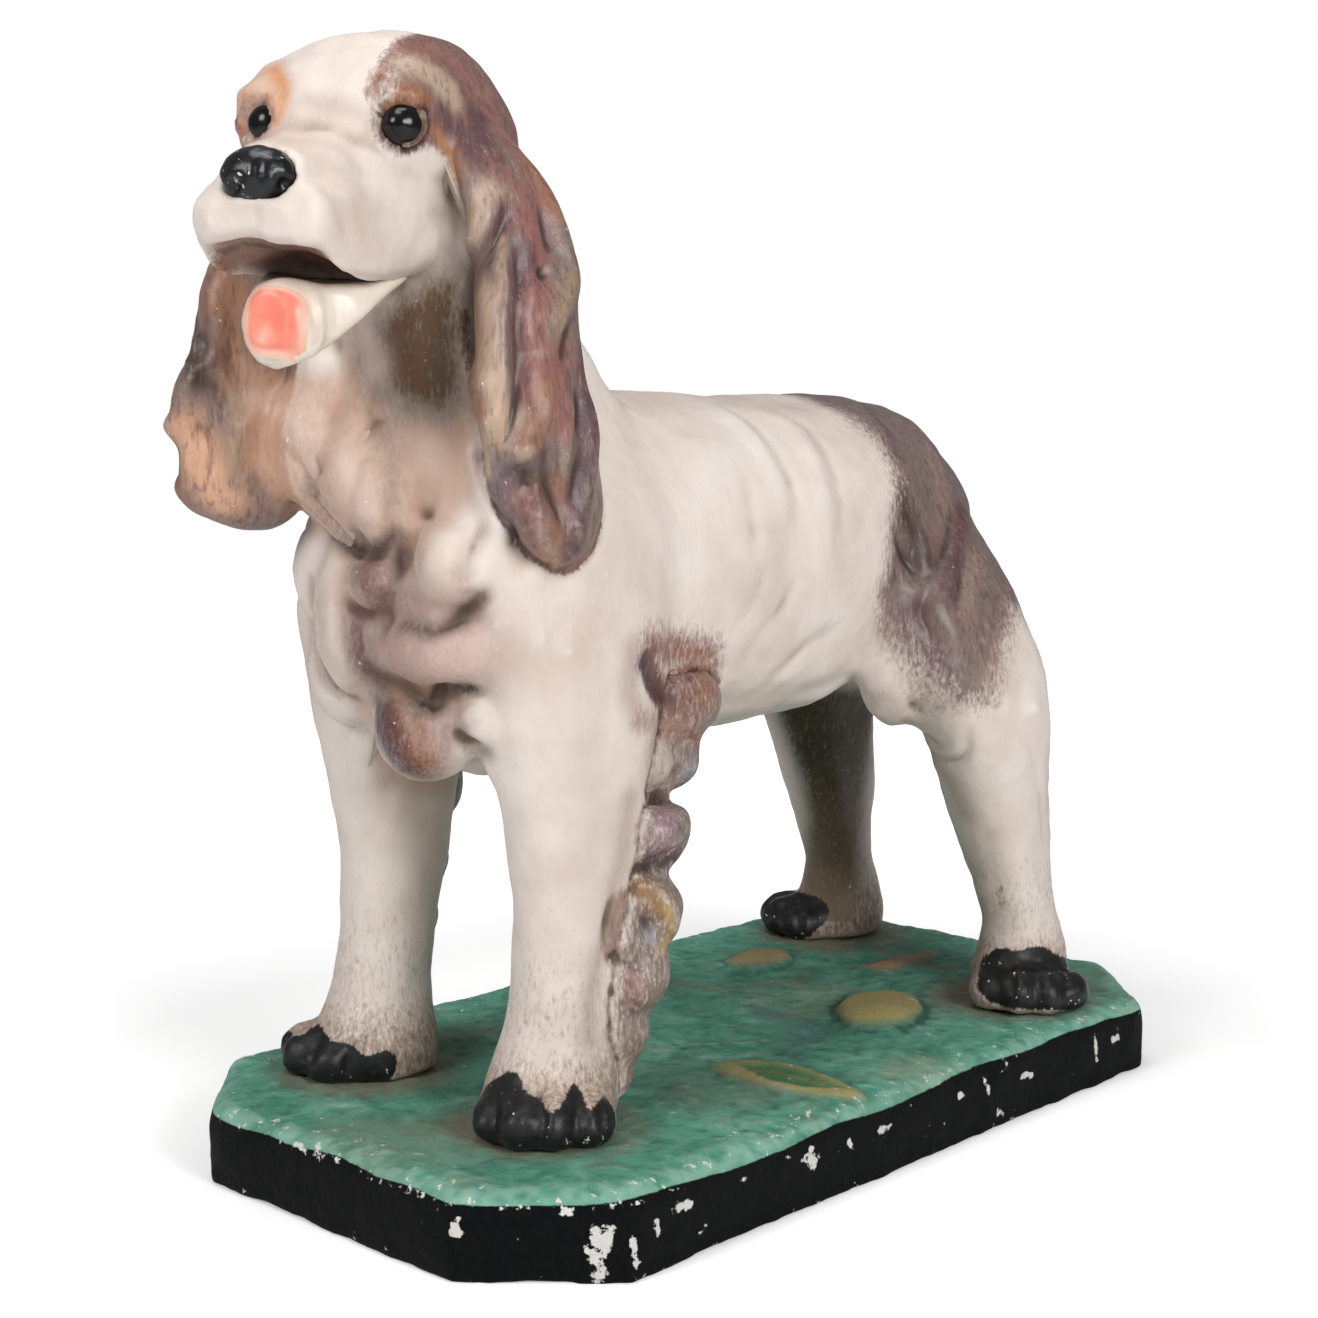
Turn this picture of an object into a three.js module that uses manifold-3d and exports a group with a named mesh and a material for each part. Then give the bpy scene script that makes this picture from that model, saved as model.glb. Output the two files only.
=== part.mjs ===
// Garden statue of a standing spaniel on a plinth with cut corners: painted resin castings on a steel armature.
// Millimetres, +Z up. The origin is the middle of the plinth's underside. The dog faces -Y, its left side is +X.
import * as THREE from "three";
import { mergeVertices } from "three/addons/utils/BufferGeometryUtils.js";
import Module from "manifold-3d";

const wasm = await Module();
wasm.setup();

// Fits
const CLEARANCE = 0.3; // gap between a piece and its seat
const CAST_WALL = 9; // wall of the hollow castings

// Plinth
const PLINTH_WIDTH = 328;
const PLINTH_LENGTH = 596;
const PLINTH_HEIGHT = 45;
const CORNER_CUT_X = 65;
const CORNER_CUT_Y = 60;
const TURF_ROUND = 6; // round of the top edge
const PLINTH_WALL = 24; // side wall beside the hollow
const PLINTH_SLAB = 17; // solid top over the hollow
const STONE_X = 69;
const STONE_Y = 81;
const STONE_LENGTH = 46;
const STONE_WIDTH = 26;
const STONE_RISE = 5;
const LEAF_X = 110;
const LEAF_Y = -66;
const LEAF_LENGTH = 74;
const LEAF_WIDTH = 22;
const LEAF_RISE = 3;

// Base board, let in flush with the underside
const BOARD_THICKNESS = 6;
const BOARD_LEDGE = 12; // seat of the board on the plinth wall
const SCREW_DIAMETER = 4;
const SCREW_HEAD_DIAMETER = 8;
const SCREW_HEAD_DEPTH = 2.4;
const SCREW_LENGTH = 18;

// Stance: each foot, in from the plinth's side and its nearer end, and where its rod enters the torso, from the
// middle of the plinth
const LEG_LENGTH = 167; // turf to the flat leg joints
const LEFT_FORE_FOOT_INSET_X = 104;
const LEFT_FORE_FOOT_INSET_Y = 110;
const LEFT_FORE_TOP_X = 62;
const LEFT_FORE_TOP_Y = -177;
const RIGHT_FORE_FOOT_INSET_X = 79;
const RIGHT_FORE_FOOT_INSET_Y = 112;
const RIGHT_FORE_TOP_X = -83;
const RIGHT_FORE_TOP_Y = -176;
const LEFT_HIND_FOOT_INSET_X = 63;
const LEFT_HIND_FOOT_INSET_Y = 106;
const LEFT_HIND_TOP_X = 94;
const LEFT_HIND_TOP_Y = 156;
const RIGHT_HIND_FOOT_INSET_X = 74;
const RIGHT_HIND_FOOT_INSET_Y = 52;
const RIGHT_HIND_TOP_X = -80;
const RIGHT_HIND_TOP_Y = 200;
const LEFT_FORE_TOE_OUT = 34; // degrees
const RIGHT_FORE_TOE_OUT = 32;
const LEFT_HIND_TOE_OUT = 42;
const RIGHT_HIND_TOE_OUT = 44;
const LEFT_SHOULDER_X = 58; // middle of each shoulder and hip inside the torso
const RIGHT_SHOULDER_X = -76;
const SHOULDER_Y = -158;
const HIP_X = 48;
const HIP_Y = 135;
const LIMB_HOLLOW = 105; // top of the hollow in a shoulder or haunch over the leg joints
const TENON_DIAMETER = 26;
const TENON_LENGTH = 18;

// Armature
const ROD_DIAMETER = 10;
const NUT_WIDTH = 17; // across the flats
const NUT_HEIGHT = 8;
const WASHER_DIAMETER = 24;
const WASHER_THICKNESS = 2.5;
const THREAD_END = 4; // rod standing past its nut
const BAR_WIDTH = 20;
const BAR_THICKNESS = 6;
const FORE_YOKE_RISE = 40; // leg joints to the underside of the front yoke
const HIND_YOKE_RISE = 69;
const NECK_ROD_FOOT = 30; // upright start of the neck rod over the spine bar

// Head, about the point midway between the eyes
const HEAD_X = 12;
const HEAD_Y = -289;
const HEAD_RISE = 349; // over the leg joints
const HEAD_YAW = 22; // degrees towards the dog's left
const HEAD_ROLL = 3; // degrees, right side up
const EYE_DIAMETER = 25;
const EYE_SPREAD = 72; // between the eyes' centres
const EYE_SHIFT = 5; // middle of the pair to the left of the head's reference point
const EYE_SET = -4; // eyes' centres behind that point
const BROW_SPREAD = 32; // from the middle of the head
const BROW_SET = -1;
const BROW_RISE = 15;
const BROW_WIDTH = 40;
const BROW_DEPTH = 24;
const BROW_HEIGHT = 22;
const NOSE_WIDTH = 39;
const NOSE_HEIGHT = 29;
const NOSE_LENGTH = 28;
const NOSE_SET = -66; // nose's middle from the head's reference point
const NOSE_RISE = -30;
const NECK_SPIGOT = 14; // lap of the head casting inside the torso's neck
const NECK_FRONT_RISE = 200; // neck joint over the leg joints, at the throat
const NECK_BACK_RISE = 240; // and at the nape
const NECK_FRONT_Y = -238;
const NECK_BACK_Y = -105;

// Sections of the cast forms. Each row is hand-set from the statue's outline.
// Torso, front to back: y, x, height of the centre over the leg joints, half width, up, down
const TORSO_ROWS = [
  [-234, -12, 100, 26, 30, 34],
  [-220, -12, 106, 58, 62, 76],
  [-185, -12, 114, 86, 90, 104],
  [-135, -8, 120, 94, 100, 106],
  [-70, -4, 124, 94, 98, 102],
  [0, 0, 125, 91, 93, 104],
  [60, 0, 127, 86, 92, 104],
  [105, 0, 131, 82, 88, 92],
  [148, 0, 129, 76, 83, 84],
  [182, 0, 118, 65, 72, 76],
  [210, 0, 106, 44, 52, 58],
  [230, 0, 98, 22, 26, 28],
];
// Neck, upwards: height over the leg joints, x, y, half width, front, back
const NECK_ROWS = [
  [110, -10, -140, 84, 88, 86],
  [165, -11, -164, 84, 84, 82],
  [210, -13, -188, 82, 72, 74],
  [258, -6, -206, 67, 56, 58],
  [312, 5, -226, 50, 44, 50],
  [345, 8, -232, 38, 34, 40],
];
const NECK_JOINT_ROW = 2; // the row at the neck joint
const NECK_SKULL_ROW = 4; // the row at the base of the skull
// Legs, upwards from the turf: share of the leg's length, half width, front, back
const FORELEG_ROWS = [
  [0, 34, 42, 28],
  [0.1, 36, 44, 29],
  [0.2, 31, 37, 28],
  [0.31, 26.5, 29, 28],
  [0.5, 26, 28, 28],
  [0.72, 28, 32, 31],
  [1, 32, 40, 40],
];
const HINDLEG_ROWS = [
  [0, 29, 36, 28],
  [0.1, 31, 38, 29],
  [0.2, 27, 32, 27],
  [0.32, 22, 25, 25],
  [0.46, 22, 22, 36],
  [0.62, 24, 18, 54],
  [0.8, 28, 22, 58],
  [1, 33, 40, 51],
];
// Shoulders and haunches, upwards: height over the leg joints, share of the way to the hip, half width, front, back
const SHOULDER_ROWS = [
  [47, 0.15, 36, 56, 50],
  [100, 0.5, 38, 74, 56],
  [150, 0.9, 35, 76, 52],
  [190, 1, 18, 42, 32],
];
const HAUNCH_ROWS = [
  [47, 0.14, 39, 68, 51],
  [100, 0.56, 38, 74, 48],
  [156, 1, 28, 56, 34],
  [190, 1, 14, 32, 18],
];
// Toes: across and ahead of the foot's rod, half width, half length, half height
const TOES = [
  [-26, 30, 13, 19, 15],
  [-9, 39, 13, 21, 17],
  [9, 39, 13, 21, 17],
  [26, 30, 13, 19, 15],
];
// Skull, from brow to nape behind the eyes: y, height, half width, up, down
const SKULL_ROWS = [
  [-18, -4, 24, 18, 20],
  [-8, 0, 45, 32, 36],
  [8, 2, 54, 43, 48],
  [34, 0, 60, 49, 58],
  [64, -2, 63, 52, 62],
  [94, -8, 59, 50, 60],
  [116, -16, 45, 38, 48],
  [128, -22, 22, 20, 26],
];
// Bridge of the muzzle, from the nose back to the cheeks: y, height, half width, up, down
const BRIDGE_ROWS = [
  [-72, -36, 16, 12, 12],
  [-64, -34, 24, 17, 20],
  [-48, -31, 29, 20, 26],
  [-28, -29, 35, 23, 32],
  [-6, -27, 43, 27, 38],
  [22, -27, 51, 32, 44],
  [48, -28, 46, 28, 40],
];
// Hanging lips, from the front back to the cheeks: y, height, half width, up, down
const LIP_ROWS = [
  [-75, -52, 22, 9, 7],
  [-68, -51, 33, 20, 12],
  [-50, -50, 40, 26, 22],
  [-30, -49, 43, 28, 28],
  [-6, -47, 46, 30, 29],
  [20, -45, 49, 30, 28],
  [42, -42, 43, 26, 24],
];
const LIP_SQUARE = 3.4; // how boxy the lips hang
// Lower jaw, from the tip back to the hinge: y, height, half width, up, down
const JAW_ROWS = [
  [-46, -97, 17, 21, 20],
  [-38, -95, 22, 21, 21],
  [-24, -88, 30, 16, 20],
  [-6, -78, 36, 11, 14],
  [14, -68, 38, 9, 12],
  [36, -60, 36, 9, 11],
];
const TONGUE_WIDTH = 38;
const TONGUE_HEIGHT = 44;
const TONGUE_THICKNESS = 12;
const TONGUE_DISH = 5; // hollow of its face
// Ears, upwards from the tip: height over the leg joints, x, y, half length along the neck, half thickness out and in
const LEFT_EAR_ROWS = [
  [130, 87, -206, 7, 5, 6],
  [140, 87, -208, 20, 11, 13],
  [160, 86, -212, 32, 15, 18],
  [188, 84, -217, 36, 17, 20],
  [228, 82, -222, 33, 16, 20],
  [268, 78, -220, 31, 15, 20],
  [308, 70, -220, 29, 12, 18],
  [338, 58, -229, 25, 9, 16],
  [363, 43, -234, 18, 6, 14],
  [380, 34, -238, 9, 5, 10],
];
const RIGHT_EAR_ROWS = [
  [146, -79, -271, 8, 6, 8],
  [154, -80, -273, 28, 13, 16],
  [170, -82, -276, 38, 18, 23],
  [192, -85, -279, 38, 18, 26],
  [228, -82, -282, 32, 15, 25],
  [268, -74, -277, 30, 14, 22],
  [308, -70, -270, 29, 13, 20],
  [338, -62, -266, 24, 10, 18],
  [363, -50, -264, 18, 6, 14],
  [380, -42, -262, 9, 5, 10],
];
// Lumps of the chest ruff: x, y, height over the leg joints, then half sizes
const RUFF_LUMPS = [
  [-12, -206, 98, 66, 46, 86],
  [3, -243, 166, 20, 23, 34],
  [-20, -246, 178, 24, 25, 34],
  [-56, -236, 192, 34, 32, 44],
  [50, -220, 170, 34, 26, 46],
  [44, -233, 136, 31, 25, 33],
  [-4, -243, 122, 29, 21, 22],
  [-62, -230, 124, 28, 25, 36],
  [-34, -239, 104, 28, 25, 48],
  [26, -234, 90, 48, 23, 27],
  [-54, -224, 72, 34, 26, 36],
  [46, -217, 54, 25, 21, 23],
  [11, -232, 46, 34, 26, 31],
];
// Curls down the outer back of a foreleg: drop below its joint, shift out and back from the leg, then half sizes
const FEATHER_CURLS = [
  [12, 20, 40, 21, 27, 26],
  [55, 23, 35, 19, 24, 22],
  [89, 23, 33, 19, 23, 22],
  [121, 19, 29, 17, 21, 18],
  [145, 15, 25, 15, 18, 15],
];
// Elbow tuft: shift out, back and up from where the leg's rod enters the torso, then half sizes
const TUFT_CURLS = [
  [4, 72, 52, 26, 36, 26],
  [2, 62, 20, 22, 32, 22],
];
// Tail, upwards from the tip: height over the leg joints, x, y, half width, out, in
const TAIL_ROWS = [
  [84, 16, 232, 4, 4, 6],
  [92, 16, 233, 11, 9, 14],
  [116, 14, 231, 16, 13, 18],
  [150, 10, 218, 18, 14, 20],
  [180, 6, 196, 18, 11, 18],
  [192, 4, 178, 12, 6, 12],
];

const LEG_JOINT = PLINTH_HEIGHT + LEG_LENGTH;
const LUMP_SEGMENTS = [9, 6]; // round and up a lump of modelled hair or a toe
const HEAD_SEGMENTS = [12, 8]; // round and up an eye, nose or brow
const RELIEF_SEGMENTS = [16, 8]; // round and up a relief on the turf
const BODY_SIDES = 18; // facets round each form
const LIMB_SIDES = 14;
const PIN_SIDES = 12;
const ROD_SIDES = 8;
const HOLLOW_SIDES = 10;
const FAR = 2000; // cutting blocks reach past every piece
const PAST = 1; // a cut starts and ends this far outside

// A closed surface of positions and triangles as a solid that can be joined and cut.
function solidOf(geometry) {
  const bare = new THREE.BufferGeometry();
  bare.setAttribute("position", geometry.getAttribute("position"));
  bare.setIndex(geometry.index);
  const merged = mergeVertices(bare, 1e-3);
  const corners = merged.index.array;
  const triangles = [];
  for (let i = 0; i < corners.length; i += 3) {
    const [a, b, c] = corners.slice(i, i + 3);
    if (a !== b && b !== c && c !== a) triangles.push(a, b, c);
  }
  return new wasm.Manifold(
    new wasm.Mesh({
      numProp: 3,
      vertProperties: new Float32Array(merged.getAttribute("position").array),
      triVerts: new Uint32Array(triangles),
    }),
  );
}

function joined(solids) {
  return solids.reduce((all, one) => all.add(one));
}

// A skin over rings along a path. A section has its centre, and its half sizes across, above and below, where above
// is square to the direction across and to the way the ring faces: along the path, or one fixed way for all rings.
// Grow moves the skin out, or in when negative.
function loft(sections, across, { grow = 0, sides = BODY_SIDES, steps = 1, square = 2.2, facing } = {}) {
  const centres = new THREE.CatmullRomCurve3(sections.map((s) => s.at));
  const sizes = new THREE.CatmullRomCurve3(sections.map((s) => s.half));
  const count = (sections.length - 1) * steps;
  const positions = [];
  const corner = (value) => Math.sign(value) * Math.abs(value) ** (2 / square);
  for (let i = 0; i <= count; i++) {
    const along = i / count;
    const tangent = facing ?? centres.getTangent(along);
    const centre = centres.getPoint(along);
    const half = sizes.getPoint(along);
    const above = new THREE.Vector3().crossVectors(across, tangent).normalize();
    const side = new THREE.Vector3().crossVectors(tangent, above).normalize();
    if (i === 0) centre.addScaledVector(tangent, -grow);
    if (i === count) centre.addScaledVector(tangent, grow);
    for (let k = 0; k < sides; k++) {
      const angle = (2 * Math.PI * k) / sides;
      const rise = Math.sin(angle) > 0 ? half.y : half.z;
      const out = corner(Math.cos(angle)) * Math.max(half.x + grow, 1);
      const up = corner(Math.sin(angle)) * Math.max(rise + grow, 1);
      positions.push(centre.clone().addScaledVector(side, out).addScaledVector(above, up));
    }
  }
  return solidOf(ringSkin(positions, sides, count));
}

// Triangles between rings of equal count, with a flat cap on the first and the last ring.
function ringSkin(points, sides, count) {
  const triangles = [];
  for (let i = 0; i < count; i++) {
    for (let k = 0; k < sides; k++) {
      const a = i * sides + k;
      const b = i * sides + ((k + 1) % sides);
      triangles.push(a, a + sides, b + sides, a, b + sides, b);
    }
  }
  const last = count * sides;
  for (let k = 1; k < sides - 1; k++) {
    triangles.push(0, k, k + 1, last, last + k + 1, last + k);
  }
  const skin = new THREE.BufferGeometry().setFromPoints(points);
  skin.setIndex(triangles);
  return skin;
}

function ball([x, y, z], [halfX, halfY, halfZ], grow = 0) {
  const shape = new THREE.SphereGeometry(1, ...LUMP_SEGMENTS);
  shape.scale(halfX + grow, halfY + grow, halfZ + grow);
  shape.translate(x, y, z);
  return solidOf(shape);
}

// An upright cylinder between two heights.
function pillar(x, y, bottom, top, diameter, sides = PIN_SIDES) {
  const shape = new THREE.CylinderGeometry(diameter / 2, diameter / 2, top - bottom, sides);
  shape.rotateX(Math.PI / 2);
  shape.translate(x, y, (bottom + top) / 2);
  return solidOf(shape);
}

// A block that covers everything above a height.
function blockAbove(height) {
  const shape = new THREE.BoxGeometry(FAR, FAR, FAR);
  shape.translate(0, 0, height + FAR / 2);
  return solidOf(shape);
}

// A round rod through points, upwards. Its rings stay level, so it stands truly upright where two points do.
function rod(points, diameter) {
  const rings = points.flatMap((point) =>
    Array.from({ length: ROD_SIDES }, (_, k) => {
      const angle = (-2 * Math.PI * k) / ROD_SIDES;
      const out = new THREE.Vector3(Math.cos(angle), Math.sin(angle), 0);
      return out.multiplyScalar(diameter / 2).add(point);
    }),
  );
  return solidOf(ringSkin(rings, ROD_SIDES, points.length - 1));
}

function paint(color, roughness, metalness = 0) {
  return new THREE.MeshStandardMaterial({ color, roughness, metalness });
}

function meshOf(name, solid, material) {
  const { vertProperties, triVerts } = solid.getMesh();
  const geometry = new THREE.BufferGeometry();
  geometry.setAttribute("position", new THREE.BufferAttribute(vertProperties, 3));
  geometry.setIndex(new THREE.BufferAttribute(triVerts, 1));
  geometry.computeVertexNormals();
  const mesh = new THREE.Mesh(geometry, material);
  mesh.name = name;
  return mesh;
}

// Plinth outline with cut corners, drawn in by an inset.
function plinthOutline(inset) {
  const x = PLINTH_WIDTH / 2 - inset;
  const y = PLINTH_LENGTH / 2 - inset;
  const diagonal = Math.hypot(CORNER_CUT_X, CORNER_CUT_Y);
  const cutX = CORNER_CUT_X - (inset * (CORNER_CUT_X + CORNER_CUT_Y - diagonal)) / CORNER_CUT_Y;
  const cutY = CORNER_CUT_Y - (inset * (CORNER_CUT_X + CORNER_CUT_Y - diagonal)) / CORNER_CUT_X;
  const quarter = [
    [x, y - cutY],
    [x - cutX, y],
  ];
  const points = [
    ...quarter,
    ...quarter.map(([a, b]) => [-a, b]).reverse(),
    ...quarter.map(([a, b]) => [-a, -b]),
    ...quarter.map(([a, b]) => [a, -b]).reverse(),
  ];
  return new THREE.Shape(points.map(([a, b]) => new THREE.Vector2(a, b)));
}

function slab(inset, bottom, top) {
  const shape = new THREE.ExtrudeGeometry(plinthOutline(inset), { depth: top - bottom, bevelEnabled: false });
  shape.translate(0, 0, bottom);
  return solidOf(shape);
}

// Feet, rods and joints of the four legs.
const LEGS = [
  {
    name: "left_foreleg",
    foot: [PLINTH_WIDTH / 2 - LEFT_FORE_FOOT_INSET_X, LEFT_FORE_FOOT_INSET_Y - PLINTH_LENGTH / 2],
    top: [LEFT_FORE_TOP_X, LEFT_FORE_TOP_Y],
    hip: [LEFT_SHOULDER_X, SHOULDER_Y],
    toeOut: LEFT_FORE_TOE_OUT,
    fore: true,
  },
  {
    name: "right_foreleg",
    foot: [RIGHT_FORE_FOOT_INSET_X - PLINTH_WIDTH / 2, RIGHT_FORE_FOOT_INSET_Y - PLINTH_LENGTH / 2],
    top: [RIGHT_FORE_TOP_X, RIGHT_FORE_TOP_Y],
    hip: [RIGHT_SHOULDER_X, SHOULDER_Y],
    toeOut: -RIGHT_FORE_TOE_OUT,
    fore: true,
  },
  {
    name: "left_hindleg",
    foot: [PLINTH_WIDTH / 2 - LEFT_HIND_FOOT_INSET_X, PLINTH_LENGTH / 2 - LEFT_HIND_FOOT_INSET_Y],
    top: [LEFT_HIND_TOP_X, LEFT_HIND_TOP_Y],
    hip: [HIP_X, HIP_Y],
    toeOut: LEFT_HIND_TOE_OUT,
    fore: false,
  },
  {
    name: "right_hindleg",
    foot: [RIGHT_HIND_FOOT_INSET_X - PLINTH_WIDTH / 2, PLINTH_LENGTH / 2 - RIGHT_HIND_FOOT_INSET_Y],
    top: [RIGHT_HIND_TOP_X, RIGHT_HIND_TOP_Y],
    hip: [-HIP_X, HIP_Y],
    toeOut: -RIGHT_HIND_TOE_OUT,
    fore: false,
  },
];
const SLAB_UNDERSIDE = PLINTH_HEIGHT - PLINTH_SLAB;
const RODS_BOTTOM = SLAB_UNDERSIDE - WASHER_THICKNESS - NUT_HEIGHT - THREAD_END;
const TOE_LIFT = 0.7; // height of a toe's middle as a share of its half height
const ROD_BEND = 0.2; // share of the leg at each end where the rod stands upright
const NUT_OVER_CORNERS = NUT_WIDTH / Math.cos(Math.PI / 6);
const SIDEWAYS = new THREE.Vector3(1, 0, 0);
const BACKWARDS = new THREE.Vector3(0, 1, 0);
const UPWARDS = new THREE.Vector3(0, 0, 1);

function yokeBottom(leg) {
  return LEG_JOINT + (leg.fore ? FORE_YOKE_RISE : HIND_YOKE_RISE);
}

// A leg's rod stands upright in the plinth and in the torso and leans between them.
function rodPath(leg, bottom, top) {
  const [footX, footY] = leg.foot;
  const [topX, topY] = leg.top;
  const bend = LEG_LENGTH * ROD_BEND;
  return [
    new THREE.Vector3(footX, footY, bottom),
    new THREE.Vector3(footX, footY, PLINTH_HEIGHT + bend),
    new THREE.Vector3(topX, topY, LEG_JOINT - bend),
    new THREE.Vector3(topX, topY, top),
  ];
}

function rodTop(leg) {
  return yokeBottom(leg) + BAR_THICKNESS + NUT_HEIGHT + THREAD_END;
}

// Where the middle of a leg lies at a share of its length: it keeps to the leg's rod.
function legMiddle({ foot, top }, share) {
  const lean = THREE.MathUtils.smoothstep(share, ROD_BEND, 1 - ROD_BEND);
  return foot.map((start, axis) => THREE.MathUtils.lerp(start, top[axis], lean));
}

// The whole limb from the turf into the torso.
function limb(leg, options) {
  const legSections = (leg.fore ? FORELEG_ROWS : HINDLEG_ROWS).map(([share, ...half]) => ({
    at: new THREE.Vector3(...legMiddle(leg, share), PLINTH_HEIGHT + share * LEG_LENGTH),
    half: new THREE.Vector3(...half),
  }));
  const upperSections = (leg.fore ? SHOULDER_ROWS : HAUNCH_ROWS).map(([height, share, ...half]) => {
    const middle = leg.top.map((start, axis) => THREE.MathUtils.lerp(start, leg.hip[axis], share));
    return {
      at: new THREE.Vector3(...middle, LEG_JOINT + height),
      half: new THREE.Vector3(...half),
    };
  });
  return loft([...legSections, ...upperSections], SIDEWAYS, { sides: LIMB_SIDES, facing: UPWARDS, ...options });
}

function torsoBarrel(options) {
  const sections = TORSO_ROWS.map(([y, x, height, half, up, down]) => ({
    at: new THREE.Vector3(x, y, LEG_JOINT + height),
    half: new THREE.Vector3(half, up, down),
  }));
  return loft(sections, SIDEWAYS, { facing: BACKWARDS, ...options });
}

function neck(options) {
  const sections = NECK_ROWS.map(([height, x, y, half, front, back]) => ({
    at: new THREE.Vector3(x, y, LEG_JOINT + height),
    half: new THREE.Vector3(half, front, back),
  }));
  return loft(sections, SIDEWAYS, options);
}

// A block that covers everything above the sloping neck joint, moved up by a shift.
function blockAboveNeckJoint(shift) {
  const slope = Math.atan2(NECK_BACK_RISE - NECK_FRONT_RISE, NECK_BACK_Y - NECK_FRONT_Y);
  const shape = new THREE.BoxGeometry(FAR, FAR, FAR);
  shape.translate(0, 0, FAR / 2 + shift);
  shape.rotateX(slope);
  shape.translate(0, NECK_FRONT_Y, LEG_JOINT + NECK_FRONT_RISE);
  return solidOf(shape);
}

function torsoOutside(grow = 0) {
  return joined([torsoBarrel({ grow }), neck({ grow }), ...LEGS.map((leg) => limb(leg, { grow }))])
    .intersect(blockAbove(LEG_JOINT - grow))
    .subtract(blockAboveNeckJoint(grow));
}

// The torso is a shell over four solid stumps, which take the legs' tenons and carry the yokes.
const HOLLOW = { grow: -CAST_WALL, sides: HOLLOW_SIDES };
function torso() {
  const floor = LEG_JOINT + Math.min(FORE_YOKE_RISE, HIND_YOKE_RISE);
  const barrel = joined([torsoBarrel(HOLLOW), neck(HOLLOW)]).intersect(blockAbove(floor));
  const ceiling = blockAbove(LEG_JOINT + LIMB_HOLLOW);
  const hollows = LEGS.map((leg) =>
    limb(leg, HOLLOW).intersect(blockAbove(yokeBottom(leg))).subtract(ceiling),
  );
  const sockets = LEGS.flatMap((leg) => [
    pillar(
      ...leg.top,
      LEG_JOINT - CAST_WALL,
      LEG_JOINT + TENON_LENGTH + CLEARANCE,
      TENON_DIAMETER + 2 * CLEARANCE,
    ),
    rodHole(...leg.top, LEG_JOINT, rodTop(leg) + CLEARANCE),
    pillar(...leg.top, yokeBottom(leg), rodTop(leg), NUT_OVER_CORNERS + 2 * CLEARANCE),
  ]);
  const slots = [yokeBlock(LEFT_FORE, RIGHT_FORE, CLEARANCE), yokeBlock(LEFT_HIND, RIGHT_HIND, CLEARANCE)];
  return torsoOutside().subtract(joined([barrel, ...hollows, ...sockets, ...slots, spineBar(CLEARANCE)]));
}

// A hole that a rod passes through between two heights.
function rodHole(x, y, bottom, top) {
  return pillar(x, y, bottom, top, ROD_DIAMETER + 2 * CLEARANCE, ROD_SIDES);
}

// A leg casting: the limb below its flat joint, the toes, the tenon, and the bore that the rod is cast into.
function legOutside(leg, grow = 0) {
  const turn = THREE.MathUtils.degToRad(leg.toeOut);
  const toes = TOES.map(([across, ahead, half, length, height]) => {
    const shape = new THREE.SphereGeometry(1, ...LUMP_SEGMENTS);
    shape.scale(half + grow, length + grow, height + grow);
    shape.translate(across, -ahead, height * TOE_LIFT);
    shape.rotateZ(turn);
    shape.translate(...leg.foot, PLINTH_HEIGHT);
    return solidOf(shape);
  });
  return joined([limb(leg, { grow }), ...toes])
    .intersect(blockAbove(PLINTH_HEIGHT - grow))
    .subtract(blockAbove(LEG_JOINT + grow));
}

function legCasting(leg) {
  const [x, y] = leg.top;
  const tenon = pillar(x, y, LEG_JOINT - TENON_LENGTH, LEG_JOINT + TENON_LENGTH, TENON_DIAMETER);
  const bore = rod(rodPath(leg, 0, rodTop(leg)), ROD_DIAMETER + 2 * CLEARANCE);
  return legOutside(leg).add(tenon).subtract(bore);
}

function legRod(leg) {
  return rod(rodPath(leg, RODS_BOTTOM, rodTop(leg)), ROD_DIAMETER);
}

function nut(x, y, bottom) {
  const top = bottom + NUT_HEIGHT;
  return pillar(x, y, bottom, top, NUT_OVER_CORNERS, 6).subtract(rodHole(x, y, bottom - PAST, top + PAST));
}

function washer(x, y) {
  const bottom = SLAB_UNDERSIDE - WASHER_THICKNESS;
  const disc = pillar(x, y, bottom, SLAB_UNDERSIDE, WASHER_DIAMETER);
  return disc.subtract(rodHole(x, y, bottom - PAST, SLAB_UNDERSIDE + PAST));
}

// A flat bar between two rods.
function yokeBlock(left, right, grow = 0) {
  const [leftX, leftY] = left.top;
  const [rightX, rightY] = right.top;
  const length = Math.hypot(leftX - rightX, leftY - rightY) + NUT_WIDTH;
  const shape = new THREE.BoxGeometry(length + 2 * grow, BAR_WIDTH + 2 * grow, BAR_THICKNESS + 2 * grow);
  shape.rotateZ(Math.atan2(leftY - rightY, leftX - rightX));
  shape.translate((leftX + rightX) / 2, (leftY + rightY) / 2, yokeBottom(left) + BAR_THICKNESS / 2);
  return solidOf(shape);
}

function yoke(left, right) {
  const bottom = yokeBottom(left) - PAST;
  const top = yokeBottom(left) + BAR_THICKNESS + PAST;
  return yokeBlock(left, right).subtract(
    joined([rodHole(...left.top, bottom, top), rodHole(...right.top, bottom, top)]),
  );
}

const [LEFT_FORE, RIGHT_FORE, LEFT_HIND, RIGHT_HIND] = LEGS;
const SPINE_FRONT_Y = (LEFT_FORE.top[1] + RIGHT_FORE.top[1]) / 2;
const SPINE_BACK_Y = (LEFT_HIND.top[1] + RIGHT_HIND.top[1]) / 2;

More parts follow.
